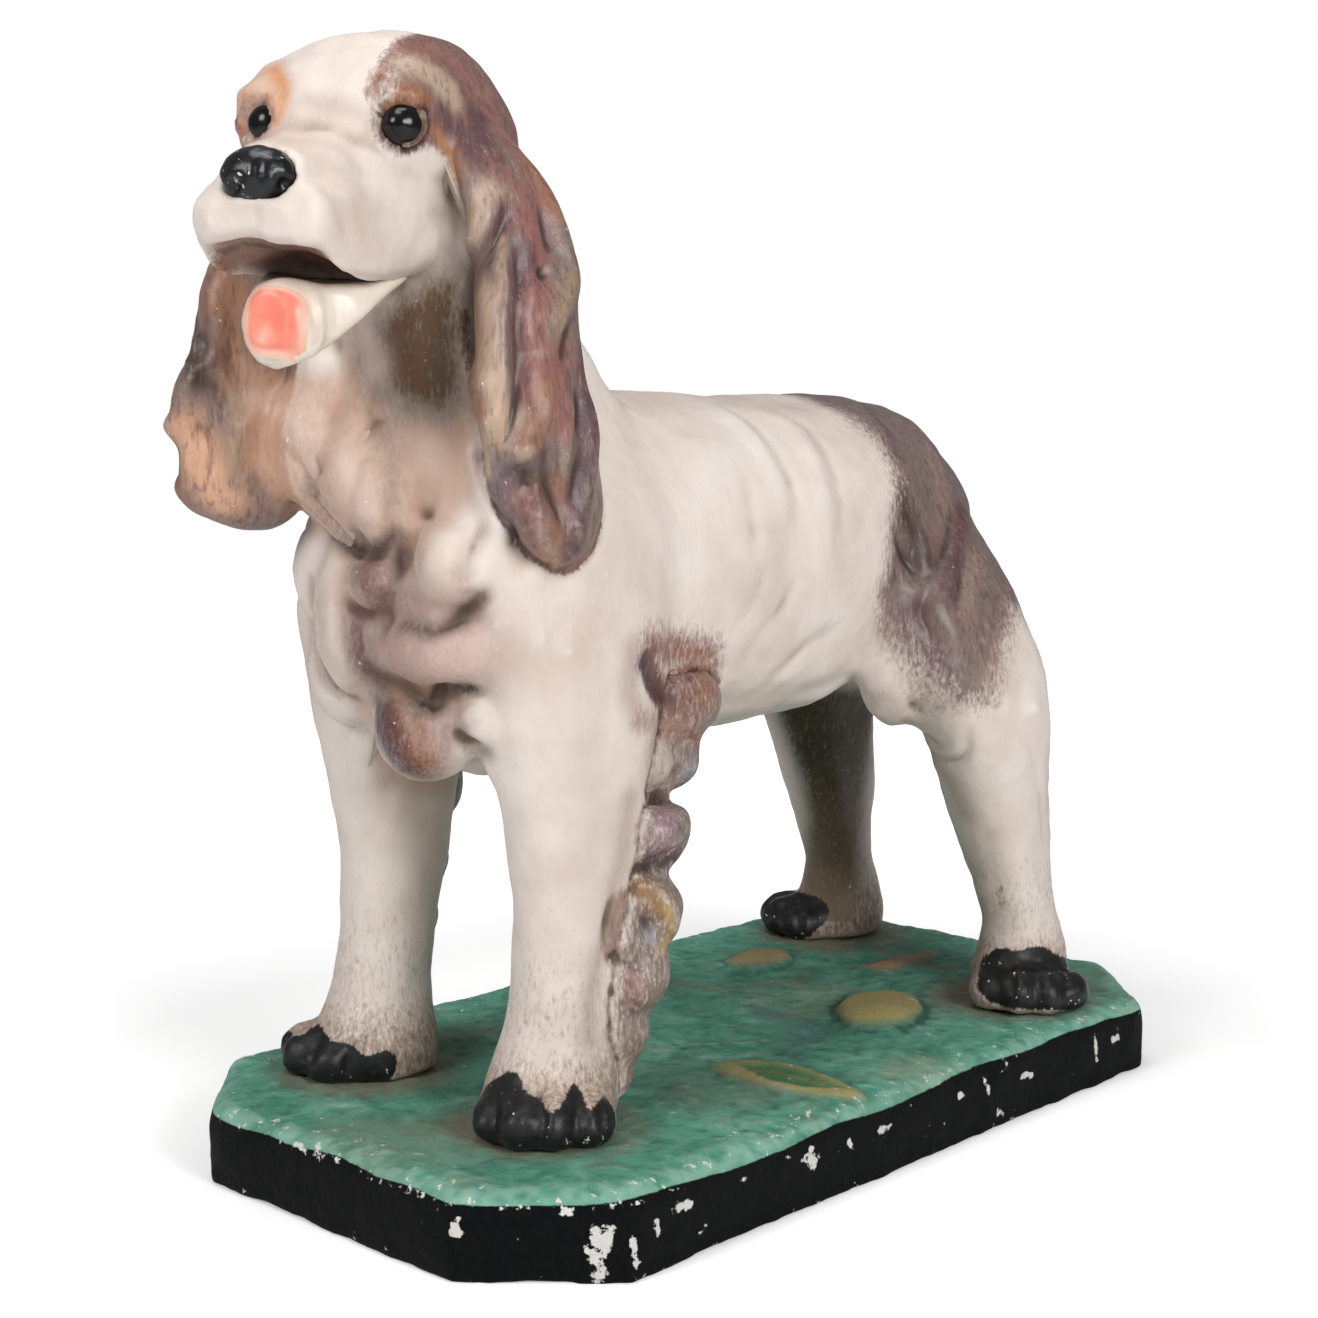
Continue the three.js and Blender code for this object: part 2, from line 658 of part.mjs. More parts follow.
// The spine bar lies flat on both yokes and slopes between them.
function spineBar(grow = 0) {
  const front = yokeBottom(LEFT_FORE) + BAR_THICKNESS;
  const back = yokeBottom(LEFT_HIND) + BAR_THICKNESS;
  const underside = [
    [SPINE_FRONT_Y - BAR_WIDTH - grow, front],
    [SPINE_FRONT_Y + BAR_WIDTH, front],
    [SPINE_BACK_Y - BAR_WIDTH, back],
    [SPINE_BACK_Y + BAR_WIDTH + grow, back],
  ];
  const profile = new THREE.Shape([
    ...underside.map(([y, z]) => new THREE.Vector2(y, z - grow)),
    ...underside.map(([y, z]) => new THREE.Vector2(y, z + BAR_THICKNESS + grow)).reverse(),
  ]);
  const shape = new THREE.ExtrudeGeometry(profile, { depth: BAR_WIDTH + 2 * grow, bevelEnabled: false });
  shape.applyMatrix4(new THREE.Matrix4().makeBasis(BACKWARDS, UPWARDS, SIDEWAYS));
  shape.translate(-BAR_WIDTH / 2 - grow, 0, 0);
  return solidOf(shape);
}

function neckRod() {
  const foot = yokeBottom(LEFT_FORE) + 2 * BAR_THICKNESS;
  const [topHeight, topX, topY] = NECK_ROWS[NECK_SKULL_ROW];
  const [midHeight, midX, midY] = NECK_ROWS[NECK_JOINT_ROW];
  return rod(
    [
      new THREE.Vector3(0, SPINE_FRONT_Y, foot),
      new THREE.Vector3(0, SPINE_FRONT_Y, foot + NECK_ROD_FOOT),
      new THREE.Vector3(midX, midY, LEG_JOINT + midHeight),
      new THREE.Vector3(topX, topY, LEG_JOINT + topHeight),
    ],
    ROD_DIAMETER,
  );
}

// Places a shape that is drawn about the point midway between the eyes.
const HEAD_PLACE = new THREE.Matrix4()
  .makeTranslation(HEAD_X, HEAD_Y, LEG_JOINT + HEAD_RISE)
  .multiply(new THREE.Matrix4().makeRotationZ(THREE.MathUtils.degToRad(HEAD_YAW)))
  .multiply(new THREE.Matrix4().makeRotationY(THREE.MathUtils.degToRad(HEAD_ROLL)));
const HEAD_SIDEWAYS = SIDEWAYS.clone().transformDirection(HEAD_PLACE);
const HEAD_BACKWARDS = BACKWARDS.clone().transformDirection(HEAD_PLACE);

function headLoft(rows, options) {
  const sections = rows.map(([y, height, half, up, down]) => ({
    at: new THREE.Vector3(0, y, height).applyMatrix4(HEAD_PLACE),
    half: new THREE.Vector3(half, up, down),
  }));
  return loft(sections, HEAD_SIDEWAYS, { facing: HEAD_BACKWARDS, ...options });
}

function headBall(at, half, grow = 0) {
  const shape = new THREE.SphereGeometry(1, ...HEAD_SEGMENTS);
  shape.scale(half[0] + grow, half[1] + grow, half[2] + grow);
  shape.translate(...at);
  shape.applyMatrix4(HEAD_PLACE);
  return solidOf(shape);
}

function eye(side, grow = 0) {
  const half = EYE_DIAMETER / 2;
  return headBall([EYE_SHIFT + (side * EYE_SPREAD) / 2, EYE_SET, 0], [half, half, half], grow);
}

function nose(grow = 0) {
  return headBall(
    [0, NOSE_SET, NOSE_RISE],
    [NOSE_WIDTH / 2, NOSE_LENGTH / 2, NOSE_HEIGHT / 2],
    grow,
  );
}

function brow(side, grow = 0) {
  return headBall(
    [side * BROW_SPREAD, BROW_SET, BROW_RISE],
    [BROW_WIDTH / 2, BROW_DEPTH / 2, BROW_HEIGHT / 2],
    grow,
  );
}

function headOutside(grow = 0) {
  return joined([
    headLoft(SKULL_ROWS, { grow }),
    headLoft(BRIDGE_ROWS, { grow }),
    headLoft(LIP_ROWS, { grow, square: LIP_SQUARE }),
    brow(1, grow),
    brow(-1, grow),
    neck({ grow }).intersect(blockAboveNeckJoint(CLEARANCE - grow)),
  ]);
}

// The head is a shell with a lap that slips into the torso's neck.
function head() {
  const hollow = joined([headLoft(SKULL_ROWS, HOLLOW), neck(HOLLOW)]);
  const root = neck({ grow: -CAST_WALL / 2, sides: HOLLOW_SIDES }).intersect(blockAboveNeckJoint(CLEARANCE));
  const lap = neck({ grow: -CAST_WALL - CLEARANCE, sides: HOLLOW_SIDES })
    .intersect(blockAboveNeckJoint(-NECK_SPIGOT))
    .add(root)
    .subtract(blockAboveNeckJoint(CAST_WALL))
    .subtract(neck({ grow: -2 * CAST_WALL, sides: HOLLOW_SIDES }));
  const sockets = [eye(1, CLEARANCE), eye(-1, CLEARANCE), nose(CLEARANCE)];
  return headOutside().subtract(hollow).add(lap).subtract(joined(sockets));
}

function lowerJaw(grow = 0) {
  return headLoft(JAW_ROWS, { grow });
}

function tongue() {
  const [frontY, frontHeight] = JAW_ROWS[0];
  const slabOf = headBall(
    [0, frontY, frontHeight],
    [TONGUE_WIDTH / 2, TONGUE_THICKNESS, TONGUE_HEIGHT / 2],
  );
  const dish = headBall(
    [0, frontY - 2 * TONGUE_THICKNESS + TONGUE_DISH, frontHeight],
    [TONGUE_WIDTH / 2, TONGUE_THICKNESS, TONGUE_HEIGHT / 2],
  );
  return slabOf.subtract(dish).subtract(lowerJaw(CLEARANCE)).subtract(headOutside(CLEARANCE));
}

function ear(rows, side) {
  const sections = rows.map(([height, x, y, half, out, inward]) => ({
    at: new THREE.Vector3(x, y, LEG_JOINT + height),
    half: side > 0 ? new THREE.Vector3(half, out, inward) : new THREE.Vector3(half, inward, out),
  }));
  return loft(sections, BACKWARDS, { sides: LIMB_SIDES, steps: 2, square: 2.4, facing: UPWARDS });
}

function ruff(grow = 0) {
  return joined(
    RUFF_LUMPS.map(([x, y, height, ...half]) => ball([x, y, LEG_JOINT + height], half, grow)),
  ).intersect(blockAbove(LEG_JOINT + CLEARANCE - grow));
}

function feathering(leg) {
  const outward = Math.sign(leg.top[0]);
  const curls = FEATHER_CURLS.map(([drop, out, back, ...half]) => {
    const [x, y] = legMiddle(leg, 1 - drop / LEG_LENGTH);
    return ball([x + out * outward, y + back, LEG_JOINT - drop], half);
  });
  return joined(curls)
    .intersect(blockAbove(PLINTH_HEIGHT + CLEARANCE))
    .subtract(blockAbove(LEG_JOINT - CLEARANCE))
    .subtract(legOutside(leg, CLEARANCE));
}

function elbowTuft(leg) {
  const outward = Math.sign(leg.top[0]);
  const curls = TUFT_CURLS.map(([out, back, up, ...half]) =>
    ball([leg.top[0] + out * outward, leg.top[1] + back, LEG_JOINT + up], half),
  );
  return joined(curls)
    .intersect(blockAbove(LEG_JOINT + CLEARANCE))
    .subtract(torsoOutside(CLEARANCE));
}

function tail() {
  const sections = TAIL_ROWS.map(([height, x, y, half, out, inward]) => ({
    at: new THREE.Vector3(x, y, LEG_JOINT + height),
    half: new THREE.Vector3(half, inward, out),
  }));
  return loft(sections, SIDEWAYS, { sides: PIN_SIDES }).subtract(torsoOutside(CLEARANCE));
}

function turfRelief(x, y, length, width, rise) {
  const shape = new THREE.SphereGeometry(1, ...RELIEF_SEGMENTS);
  shape.scale(length / 2, width / 2, rise);
  shape.translate(x, y, PLINTH_HEIGHT);
  return solidOf(shape);
}

function plinth() {
  const turf = new THREE.ExtrudeGeometry(plinthOutline(TURF_ROUND), {
    depth: PLINTH_SLAB - 2 * TURF_ROUND,
    bevelThickness: TURF_ROUND,
    bevelSize: TURF_ROUND,
    bevelSegments: 3,
  });
  turf.translate(0, 0, PLINTH_HEIGHT - PLINTH_SLAB + TURF_ROUND);
  let block = solidOf(turf)
    .add(slab(0, 0, PLINTH_HEIGHT - TURF_ROUND))
    .add(turfRelief(STONE_X, STONE_Y, STONE_LENGTH, STONE_WIDTH, STONE_RISE))
    .add(turfRelief(LEAF_X, LEAF_Y, LEAF_LENGTH, LEAF_WIDTH, LEAF_RISE))
    .subtract(slab(PLINTH_WALL, -PAST, SLAB_UNDERSIDE))
    .subtract(slab(PLINTH_WALL - BOARD_LEDGE, -PAST, BOARD_THICKNESS));
  for (const { foot } of LEGS) {
    block = block.subtract(rodHole(...foot, 0, PLINTH_HEIGHT + PAST));
  }
  for (const [x, y] of screwPlaces()) {
    block = block.subtract(
      pillar(x, y, 0, SCREW_LENGTH + CLEARANCE, SCREW_DIAMETER + 2 * CLEARANCE, ROD_SIDES),
    );
  }
  return block;
}

// One screw on each straight side and each end, in the middle of the board's seat.
function screwPlaces() {
  const inset = PLINTH_WALL - BOARD_LEDGE / 2;
  const x = PLINTH_WIDTH / 2 - inset;
  const y = PLINTH_LENGTH / 2 - inset;
  const along = PLINTH_LENGTH / 4;
  return [
    [x, along],
    [x, -along],
    [-x, along],
    [-x, -along],
    [0, y],
    [0, -y],
  ];
}

function baseBoard() {
  let board = slab(PLINTH_WALL - BOARD_LEDGE + CLEARANCE, 0, BOARD_THICKNESS);
  for (const [x, y] of screwPlaces()) {
    board = board.subtract(screw(x, y, CLEARANCE));
  }
  return board;
}

// A countersunk screw driven up from the underside.
function screw(x, y, grow = 0) {
  const shank = SCREW_DIAMETER / 2 + grow;
  const headRadius = SCREW_HEAD_DIAMETER / 2 + grow;
  const profile = [
    new THREE.Vector2(0, -grow),
    new THREE.Vector2(headRadius, -grow),
    new THREE.Vector2(shank, SCREW_HEAD_DEPTH),
    new THREE.Vector2(shank, SCREW_LENGTH),
    new THREE.Vector2(0, SCREW_LENGTH),
  ];
  const shape = new THREE.LatheGeometry(profile, ROD_SIDES);
  shape.rotateX(Math.PI / 2);
  shape.translate(x, y, 0);
  return solidOf(shape);
}

// Assembly
const CREAM_PAINT = 0xd9cdb8;
const BROWN_PAINT = 0x7d5a52;
const BLACK_PAINT = 0x17181b;
const TURF_PAINT = 0x2f7560;
const TONGUE_PAINT = 0xdb5a4a;
const STEEL = 0x8c8f92;
const BOARD = 0xa98c62;

const statue = new THREE.Group();
const base = new THREE.Group();
const dog = new THREE.Group();
const armature = new THREE.Group();
statue.add(base, dog, armature);

base.add(meshOf("plinth", plinth(), paint(TURF_PAINT, 0.55)));
base.add(meshOf("base_board", baseBoard(), paint(BOARD, 0.8)));
screwPlaces().forEach(([x, y], index) => {
  base.add(meshOf(`base_board_screw_${index + 1}`, screw(x, y), paint(STEEL, 0.4, 1)));
});

const ears = {
  left_ear: ear(LEFT_EAR_ROWS, 1),
  right_ear: ear(RIGHT_EAR_ROWS, -1),
};
const bib = ruff().subtract(torsoOutside(CLEARANCE)).subtract(headOutside(CLEARANCE));
dog.add(meshOf("torso", torso(), paint(CREAM_PAINT, 0.6)));
dog.add(meshOf("chest_ruff", bib, paint(CREAM_PAINT, 0.6)));
dog.add(meshOf("head", head(), paint(CREAM_PAINT, 0.55)));
dog.add(meshOf("lower_jaw", lowerJaw().subtract(headOutside(CLEARANCE)), paint(CREAM_PAINT, 0.55)));
dog.add(meshOf("tongue", tongue(), paint(TONGUE_PAINT, 0.45)));
dog.add(meshOf("nose", nose(), paint(BLACK_PAINT, 0.25)));
dog.add(meshOf("left_eye", eye(1), paint(BLACK_PAINT, 0.08)));
dog.add(meshOf("right_eye", eye(-1), paint(BLACK_PAINT, 0.08)));
for (const [name, lock] of Object.entries(ears)) {
  const seated = lock
    .subtract(headOutside(CLEARANCE))
    .subtract(torsoOutside(CLEARANCE))
    .subtract(ruff(CLEARANCE));
  dog.add(meshOf(name, seated, paint(BROWN_PAINT, 0.4)));
}
for (const leg of LEGS) {
  dog.add(meshOf(leg.name, legCasting(leg), paint(CREAM_PAINT, 0.6)));
}
for (const leg of [LEFT_FORE, RIGHT_FORE]) {
  dog.add(meshOf(`${leg.name}_feathering`, feathering(leg), paint(BROWN_PAINT, 0.55)));
  dog.add(meshOf(`${leg.name}_elbow_tuft`, elbowTuft(leg), paint(BROWN_PAINT, 0.55)));
}
dog.add(meshOf("tail", tail(), paint(BROWN_PAINT, 0.55)));

for (const leg of LEGS) {
  const steel = paint(STEEL, 0.4, 1);
  armature.add(meshOf(`${leg.name}_rod`, legRod(leg), steel));
  armature.add(meshOf(`${leg.name}_washer`, washer(...leg.foot), paint(STEEL, 0.4, 1)));
  const underNut = nut(...leg.foot, SLAB_UNDERSIDE - WASHER_THICKNESS - NUT_HEIGHT);
  armature.add(meshOf(`${leg.name}_base_nut`, underNut, paint(STEEL, 0.4, 1)));
  const yokeNut = nut(...leg.top, yokeBottom(leg) + BAR_THICKNESS);
  armature.add(meshOf(`${leg.name}_yoke_nut`, yokeNut, paint(STEEL, 0.4, 1)));
}
armature.add(meshOf("front_yoke", yoke(LEFT_FORE, RIGHT_FORE), paint(STEEL, 0.45, 1)));
armature.add(meshOf("rear_yoke", yoke(LEFT_HIND, RIGHT_HIND), paint(STEEL, 0.45, 1)));
armature.add(meshOf("spine_bar", spineBar(), paint(STEEL, 0.45, 1)));
armature.add(meshOf("neck_rod", neckRod(), paint(STEEL, 0.4, 1)));

export default statue;
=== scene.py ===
# A worn garden statue of a standing spaniel: hand-painted resin castings on a turf plinth.
# The castings' solids are fused to one skin, modelled with strokes, and cut apart again at their joints.
import math
from functools import partial

import bmesh
import bpy
import numpy as np
from mathutils import Matrix, Vector, noise
from mathutils.bvhtree import BVHTree


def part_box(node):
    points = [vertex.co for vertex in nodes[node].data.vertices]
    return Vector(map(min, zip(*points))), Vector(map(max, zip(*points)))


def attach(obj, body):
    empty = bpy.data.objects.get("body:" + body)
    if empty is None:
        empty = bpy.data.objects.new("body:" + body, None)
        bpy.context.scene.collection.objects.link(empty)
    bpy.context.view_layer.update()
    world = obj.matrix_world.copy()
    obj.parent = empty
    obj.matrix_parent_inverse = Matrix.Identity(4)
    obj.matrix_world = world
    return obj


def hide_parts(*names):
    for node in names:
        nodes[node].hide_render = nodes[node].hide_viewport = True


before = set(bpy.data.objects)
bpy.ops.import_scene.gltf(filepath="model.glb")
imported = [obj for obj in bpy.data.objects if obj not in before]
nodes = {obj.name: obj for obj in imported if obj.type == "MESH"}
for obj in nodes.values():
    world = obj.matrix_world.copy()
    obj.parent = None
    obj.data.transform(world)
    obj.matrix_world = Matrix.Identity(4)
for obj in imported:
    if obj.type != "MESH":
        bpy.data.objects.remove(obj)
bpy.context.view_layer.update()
scene = bpy.context.scene
scene.view_settings.view_transform = "Standard"
MM = 0.001

# Camera, fitted to the outline of the plinth. Pixels below are those of the 1318 x 1318 picture.
PICTURE = 1318
FOCAL = 2206.46
LENS_PLACE = Vector((0.87927, -0.98192, 0.43483))
AIM = Vector((-0.0214, -0.0201, 0.2719))
camera = bpy.data.objects.new("camera", bpy.data.cameras.new("camera"))
camera.location = LENS_PLACE
camera.rotation_euler = (AIM - LENS_PLACE).to_track_quat("-Z", "Y").to_euler()
camera.data.sensor_width = 36
camera.data.lens = FOCAL / PICTURE * camera.data.sensor_width
scene.collection.objects.link(camera)
scene.camera = camera
TURN = camera.rotation_euler.to_matrix()

# The head is turned to the dog's left and leans a little. In its own frame x is its left, y back and z up.
HEAD = Matrix.Translation((0.012, -0.289, 0.561)) @ Matrix.Rotation(math.radians(22), 4, "Z")
HEAD = HEAD @ Matrix.Rotation(math.radians(3), 4, "Y")
BODY = Matrix.Identity(4)
LEG_JOINT = 0.212
TURF = 0.045
NECK_POINT = Vector((0, -0.238, 0.412))
NECK_WAY = Vector((0, -(0.452 - 0.412), -0.105 + 0.238)).normalized()
RUFF_FRONT = -0.212
# How many widths from its line a tool still takes hold
TOOL_REACH = 2.2


def srgb(code):
    """Linear colour from an sRGB hex code."""
    parts = [int(code[k : k + 2], 16) / 255 for k in (1, 3, 5)]
    return (*[p / 12.92 if p <= 0.04045 else ((p + 0.055) / 1.055) ** 2.4 for p in parts], 1)


def in_frame(place, points):
    """Points as seen in the frame of a place."""
    back = np.array(place.inverted())
    return points @ back[:3, :3].T + back[:3, 3]


def on_picture(points):
    """Pixels at which points show."""
    seen = (points - np.array(LENS_PLACE)) @ np.array(TURN)
    return PICTURE / 2 + FOCAL * seen[:, :2] * (1, -1) / -seen[:, 2:]


def smooth_line(corners, steps=6):
    """A smooth line through flat points, given as x and y in turn, as a sculptor's tool runs through them."""
    corners = np.reshape(corners, (-1, 2)).astype(float)
    if len(corners) < 2:
        return corners
    padded = np.vstack([2 * corners[0] - corners[1], corners, 2 * corners[-1] - corners[-2]])
    line = []
    for a, b, c, d in zip(padded, padded[1:], padded[2:], padded[3:]):
        bend, turn = 2 * a - 5 * b + 4 * c - d, 3 * b - a - 3 * c + d
        line += [0.5 * (2 * b + (c - a) * t + bend * t**2 + turn * t**3) for t in np.arange(steps) / steps]
    return np.vstack([line, corners[-1:]])


def depth_inside(flat, outline):
    """How far flat points lie inside an outline, given as x and y in turn, negative outside."""
    outline = np.reshape(outline, (-1, 2)).astype(float)
    nearest = np.full(len(flat), np.inf)
    inside = np.zeros(len(flat), bool)
    for a, b in zip(outline, np.roll(outline, -1, axis=0)):
        along = b - a
        share = np.clip((flat - a) @ along / (along @ along), 0, 1)
        nearest = np.minimum(nearest, np.linalg.norm(flat - a - share[:, None] * along, axis=1))
        crosses = (a[1] > flat[:, 1]) != (b[1] > flat[:, 1])
        rise = along[1] if along[1] else 1e-9
        inside ^= crosses & (flat[:, 0] < a[0] + (flat[:, 1] - a[1]) * along[0] / rise)
    return np.where(inside, nearest, -nearest)


def ease(values, low, high):
    """0 at low, 1 at high, and soft between them."""
    share = np.clip((values - low) / (high - low), 0, 1)
    return share * share * (3 - 2 * share)


def read(items, name, width=1, kind=np.float32):
    """A property of all items of a mesh as an array."""
    values = np.empty((len(items), width), kind)
    items.foreach_get(name, values.ravel())
    return values if width > 1 else values[:, 0]


def in_box(points, casting, margin, axes=3):
    """Which points lie in a casting's box, widened by a margin, along the first axes."""
    low, high = (np.array(corner)[:axes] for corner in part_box(casting))
    return ((points[:, :axes] > low - margin) & (points[:, :axes] < high + margin)).all(1)


def soft_spot(points, centre, radii):
    """1 at a spot, falling off round it by the radii."""
    return np.exp(-(((points - centre) / radii) ** 2).sum(1))


def new_piece(name, shape):
    """A piece of the object from a bmesh."""
    mesh = bpy.data.meshes.new(name)
    shape.to_mesh(mesh)
    shape.free()
    piece = bpy.data.objects.new(name, mesh)
    scene.collection.objects.link(piece)
    return piece


class Clay:
    """A skin over castings, as points that strokes push about, with paint as values on the same points. Cover
    is dry-brushed paint and glaze is thin even paint, both in the tone, glaze also laying painted shade and
    painted light; bare is chipped off paint."""

    def __init__(self, name, castings, grain, soften, extra=(), cut_below=None):
        shape = bmesh.new()
        for casting in castings:
            shape.from_mesh(nodes[casting].data)
        bmesh.ops.remove_doubles(shape, verts=shape.verts, dist=1e-6)
        for place, half in extra:
            size = Matrix.Translation(Vector(place) * MM) @ Matrix.Diagonal((*half, 1))
            bmesh.ops.create_icosphere(shape, subdivisions=3, radius=MM, matrix=size)
        self.piece = new_piece(name, shape)
        remesh = self.piece.modifiers.new("skin", "REMESH")
        remesh.mode = "VOXEL"
        remesh.voxel_size = grain
        smooth = self.piece.modifiers.new("soften", "SMOOTH")
        smooth.iterations = soften
        graph = bpy.context.evaluated_depsgraph_get()
        skin = bpy.data.meshes.new_from_object(self.piece.evaluated_get(graph), depsgraph=graph)
        self.piece.modifiers.clear()
        self.piece.data = skin
        self.drop_inside(cut_below)
        mesh = self.piece.data
        self.points = read(mesh.vertices, "co", 3).astype(float)
        edges = read(mesh.edges, "vertices", 2, np.int32)
        pairs = np.vstack([edges, edges[:, ::-1]])
        pairs = pairs[np.argsort(pairs[:, 0], kind="stable")]
        self.beside = pairs[:, 1]
        self.first = np.searchsorted(pairs[:, 0], np.arange(len(self.points)))
        self.count = np.bincount(pairs[:, 0])[:, None]
        self.faces = [tuple(face.vertices) for face in mesh.polygons]
        self.corners = np.concatenate(self.faces)
        self.starts = np.cumsum([0, *[len(face) for face in self.faces[:-1]]])
        self.values = {paint: np.zeros(len(self.points)) for paint in ("cover", "glaze", "black", "bare")}
        self.tone = np.tile(srgb("#7C5A57"), (len(self.points), 1))
        self.settle()

    def drop_inside(self, cut_below):
        """Keeps the outer skin and drops the walls of the hollows, and what lies below a level."""
        shape = bmesh.new()
        shape.from_mesh(self.piece.data)
        if cut_below is not None:
            whole = shape.verts[:] + shape.edges[:] + shape.faces[:]
            level = {"plane_co": (0, 0, cut_below), "plane_no": (0, 0, 1)}
            bmesh.ops.bisect_plane(shape, geom=whole, clear_inner=True, **level)
            bmesh.ops.holes_fill(shape, edges=[edge for edge in shape.edges if edge.is_boundary], sides=0)
        left, outer = set(shape.verts), set()
        while len(left) > len(outer):
            front = [left.pop()]
            group = set(front)
            while front:
                beside = {other for edge in front.pop().link_edges for other in edge.verts} - group
                group |= beside
                front += beside
            left -= group
            outer = max(outer, group, key=len)
        bmesh.ops.delete(shape, geom=[vert for vert in shape.verts if vert not in outer], context="VERTS")
        shape.to_mesh(self.piece.data)
        shape.free()

    def settle(self):
        """Puts the moved points into the mesh and takes the normals and the search tree afresh."""
        mesh = self.piece.data
        mesh.vertices.foreach_set("co", self.points.astype(np.float32).ravel())
        mesh.update()
        self.normals = read(mesh.vertex_normals, "vector", 3).astype(float)
        self.tree = BVHTree.FromPolygons(self.points.tolist(), self.faces)

    def softened(self, values, rounds):
        """Values after rounds of mixing each point's with those of its neighbours."""
        for _ in range(rounds):
            values = 0.5 * (values + np.add.reduceat(values[self.beside], self.first) / self.count)
        return values

    def fair(self, rounds, where, keep=1.0):
        """Evens out facets and ledges. A share of what that takes off the coarse shape is given back."""
        coarse = self.softened(self.points, rounds)
        given = self.softened(self.points - coarse, rounds) * keep
        self.points += (coarse + given - self.points) * where[:, None]
        self.settle()

    def roughen(self, size, height, where=1.0):
        """Unevenness of hand modelling: lumps of a size and a height in millimetres."""
        lumps = np.array([noise.fractal(Vector(point) / (size * MM), 1.0, 2.0, 2) for point in self.points])
        self.points += self.normals * (lumps * height * MM * where)[:, None]

    def pull(self, place, centre, radii, move):
        """Pulls the skin round a spot of a frame. All in millimetres."""
        hold = soft_spot(in_frame(place, self.points) / MM, centre, radii)
        self.points += hold[:, None] * (np.array(place)[:3, :3] @ np.array(move, float) * MM)

    def trace(self, pixels):
        """Where a line drawn on the picture lies on the skin."""
        found = []
        for x, y in smooth_line(pixels):
            way = TURN @ Vector(((x - PICTURE / 2) / FOCAL, (PICTURE / 2 - y) / FOCAL, -1))
            spot, normal, _, _ = self.tree.ray_cast(LENS_PLACE, way.normalized())
            if spot is not None:
                found.append((*spot, *normal))
        return np.array(found)

    def lay(self, points):
        """The same kind of line from points in space, each moved to the nearest spot on the skin."""
        found = []
        for point in points:
            spot, normal, _, _ = self.tree.find_nearest(Vector(point))
            found.append((*spot, *normal))
        return np.array(found)

    def twin(self, line, place):
        """A line moved to the other side of a frame's middle."""
        turned = in_frame(place, line[:, :3]) * (-1, 1, 1)
        world = np.array(place)
        return self.lay(turned @ world[:3, :3].T + world[:3, 3])

    def reach(self, line, width, ends):
        """Points near a line, and how strongly a tool of this width on it takes hold of them."""
        path, ways = line[:, :3], line[:, 3:]
        far = TOOL_REACH * width
        close = (self.points > path.min(0) - far) & (self.points < path.max(0) + far)
        near = np.nonzero(close.all(1))[0]
        if not len(near):
            return near, np.zeros(0)
        gaps = ((self.points[near, None] - path[None]) ** 2).sum(2)
        nearest = gaps.argmin(1)
        hold = np.exp(-gaps[np.arange(len(near)), nearest] / width**2)
        hold *= np.clip((self.normals[near] * ways[nearest]).sum(1) + 0.3, 0, 1)
        if ends and len(path) > 2:
            hold *= np.sin(np.pi * (nearest + 0.5) / len(path)) ** 0.6
        return near, hold

    def press(self, line, width, height, ends=True):
        """Raises or sinks the skin along a line. Width and height in millimetres."""
        if len(line):
            near, hold = self.reach(line, width * MM, ends)
            self.points[near] += self.normals[near] * (hold * height * MM)[:, None]

    def lay_paint(self, paint, near, hold, code):
        """Lays paint on points by a share, in a tone if the paint has one."""
        self.values[paint][near] = np.maximum(self.values[paint][near], hold)
        if code:
            share = np.clip(1.4 * hold, 0, 1)[:, None]
            self.tone[near] += (np.array(srgb(code)) - self.tone[near]) * share

    def brush(self, paint, line, width, amount=1.0, code=None):
        """Lays paint along a line."""
        if len(line):
            near, hold = self.reach(line, width * MM, False)
            self.lay_paint(paint, near, amount * hold, code)

    def brush_lines(self, paint, rows):
        """Lays paint along lines on the picture: tone, width, amount, and the pixels."""
        for code, width, amount, *pixels in rows:
            self.brush(paint, self.trace(pixels), width, amount, code)

    def fill(self, paint, depth, edge, amount=1.0, where=1.0, code=None):
        """Lays paint inside an outline, given each point's depth in it, with a soft edge."""
        self.lay_paint(paint, slice(None), amount * ease(depth, -edge, edge) * where, code)

    def seen(self):
        """How squarely each point faces the camera, 0 to 1."""
        way = np.array(LENS_PLACE) - self.points
        way /= np.linalg.norm(way, axis=1)[:, None]
        return np.clip((self.normals * way).sum(1) * 4, 0, 1)

    def gap_to(self, casting, among, limit):
        """How far some of the points are from a casting, no further than a limit."""
        gap = np.full(len(self.points), limit)
        close = in_box(self.points, casting, limit) & among
        shape = bmesh.new()
        shape.from_mesh(nodes[casting].data)
        tree = BVHTree.FromBMesh(shape)
        shape.free()
        for point in np.nonzero(close)[0]:
            found = tree.find_nearest(Vector(self.points[point]), limit)
            if found[0] is not None:
                gap[point] = found[3]
        return gap

    def finish(self):
        """Takes the relief: how far each point stands out of the skin close by and wider round it, in mm."""
        self.settle()
        level = self.points
        for name, rounds in (("relief", 12), ("hollow", 68)):
            level = self.softened(level, rounds)
            self.values[name] = ((self.points - level) * self.normals).sum(1) / MM
        self.store(self.piece.data, slice(None))
        self.piece.data.shade_smooth()

    def store(self, mesh, chosen):
        """Puts the paint and relief of chosen points on a mesh."""
        for name, values in self.values.items():
            layer = mesh.attributes.new(name, "FLOAT", "POINT")
            layer.data.foreach_set("value", values[chosen].astype(np.float32))
        layer = mesh.attributes.new("tone", "FLOAT_COLOR", "POINT")
        layer.data.foreach_set("color", self.tone[chosen].astype(np.float32).ravel())

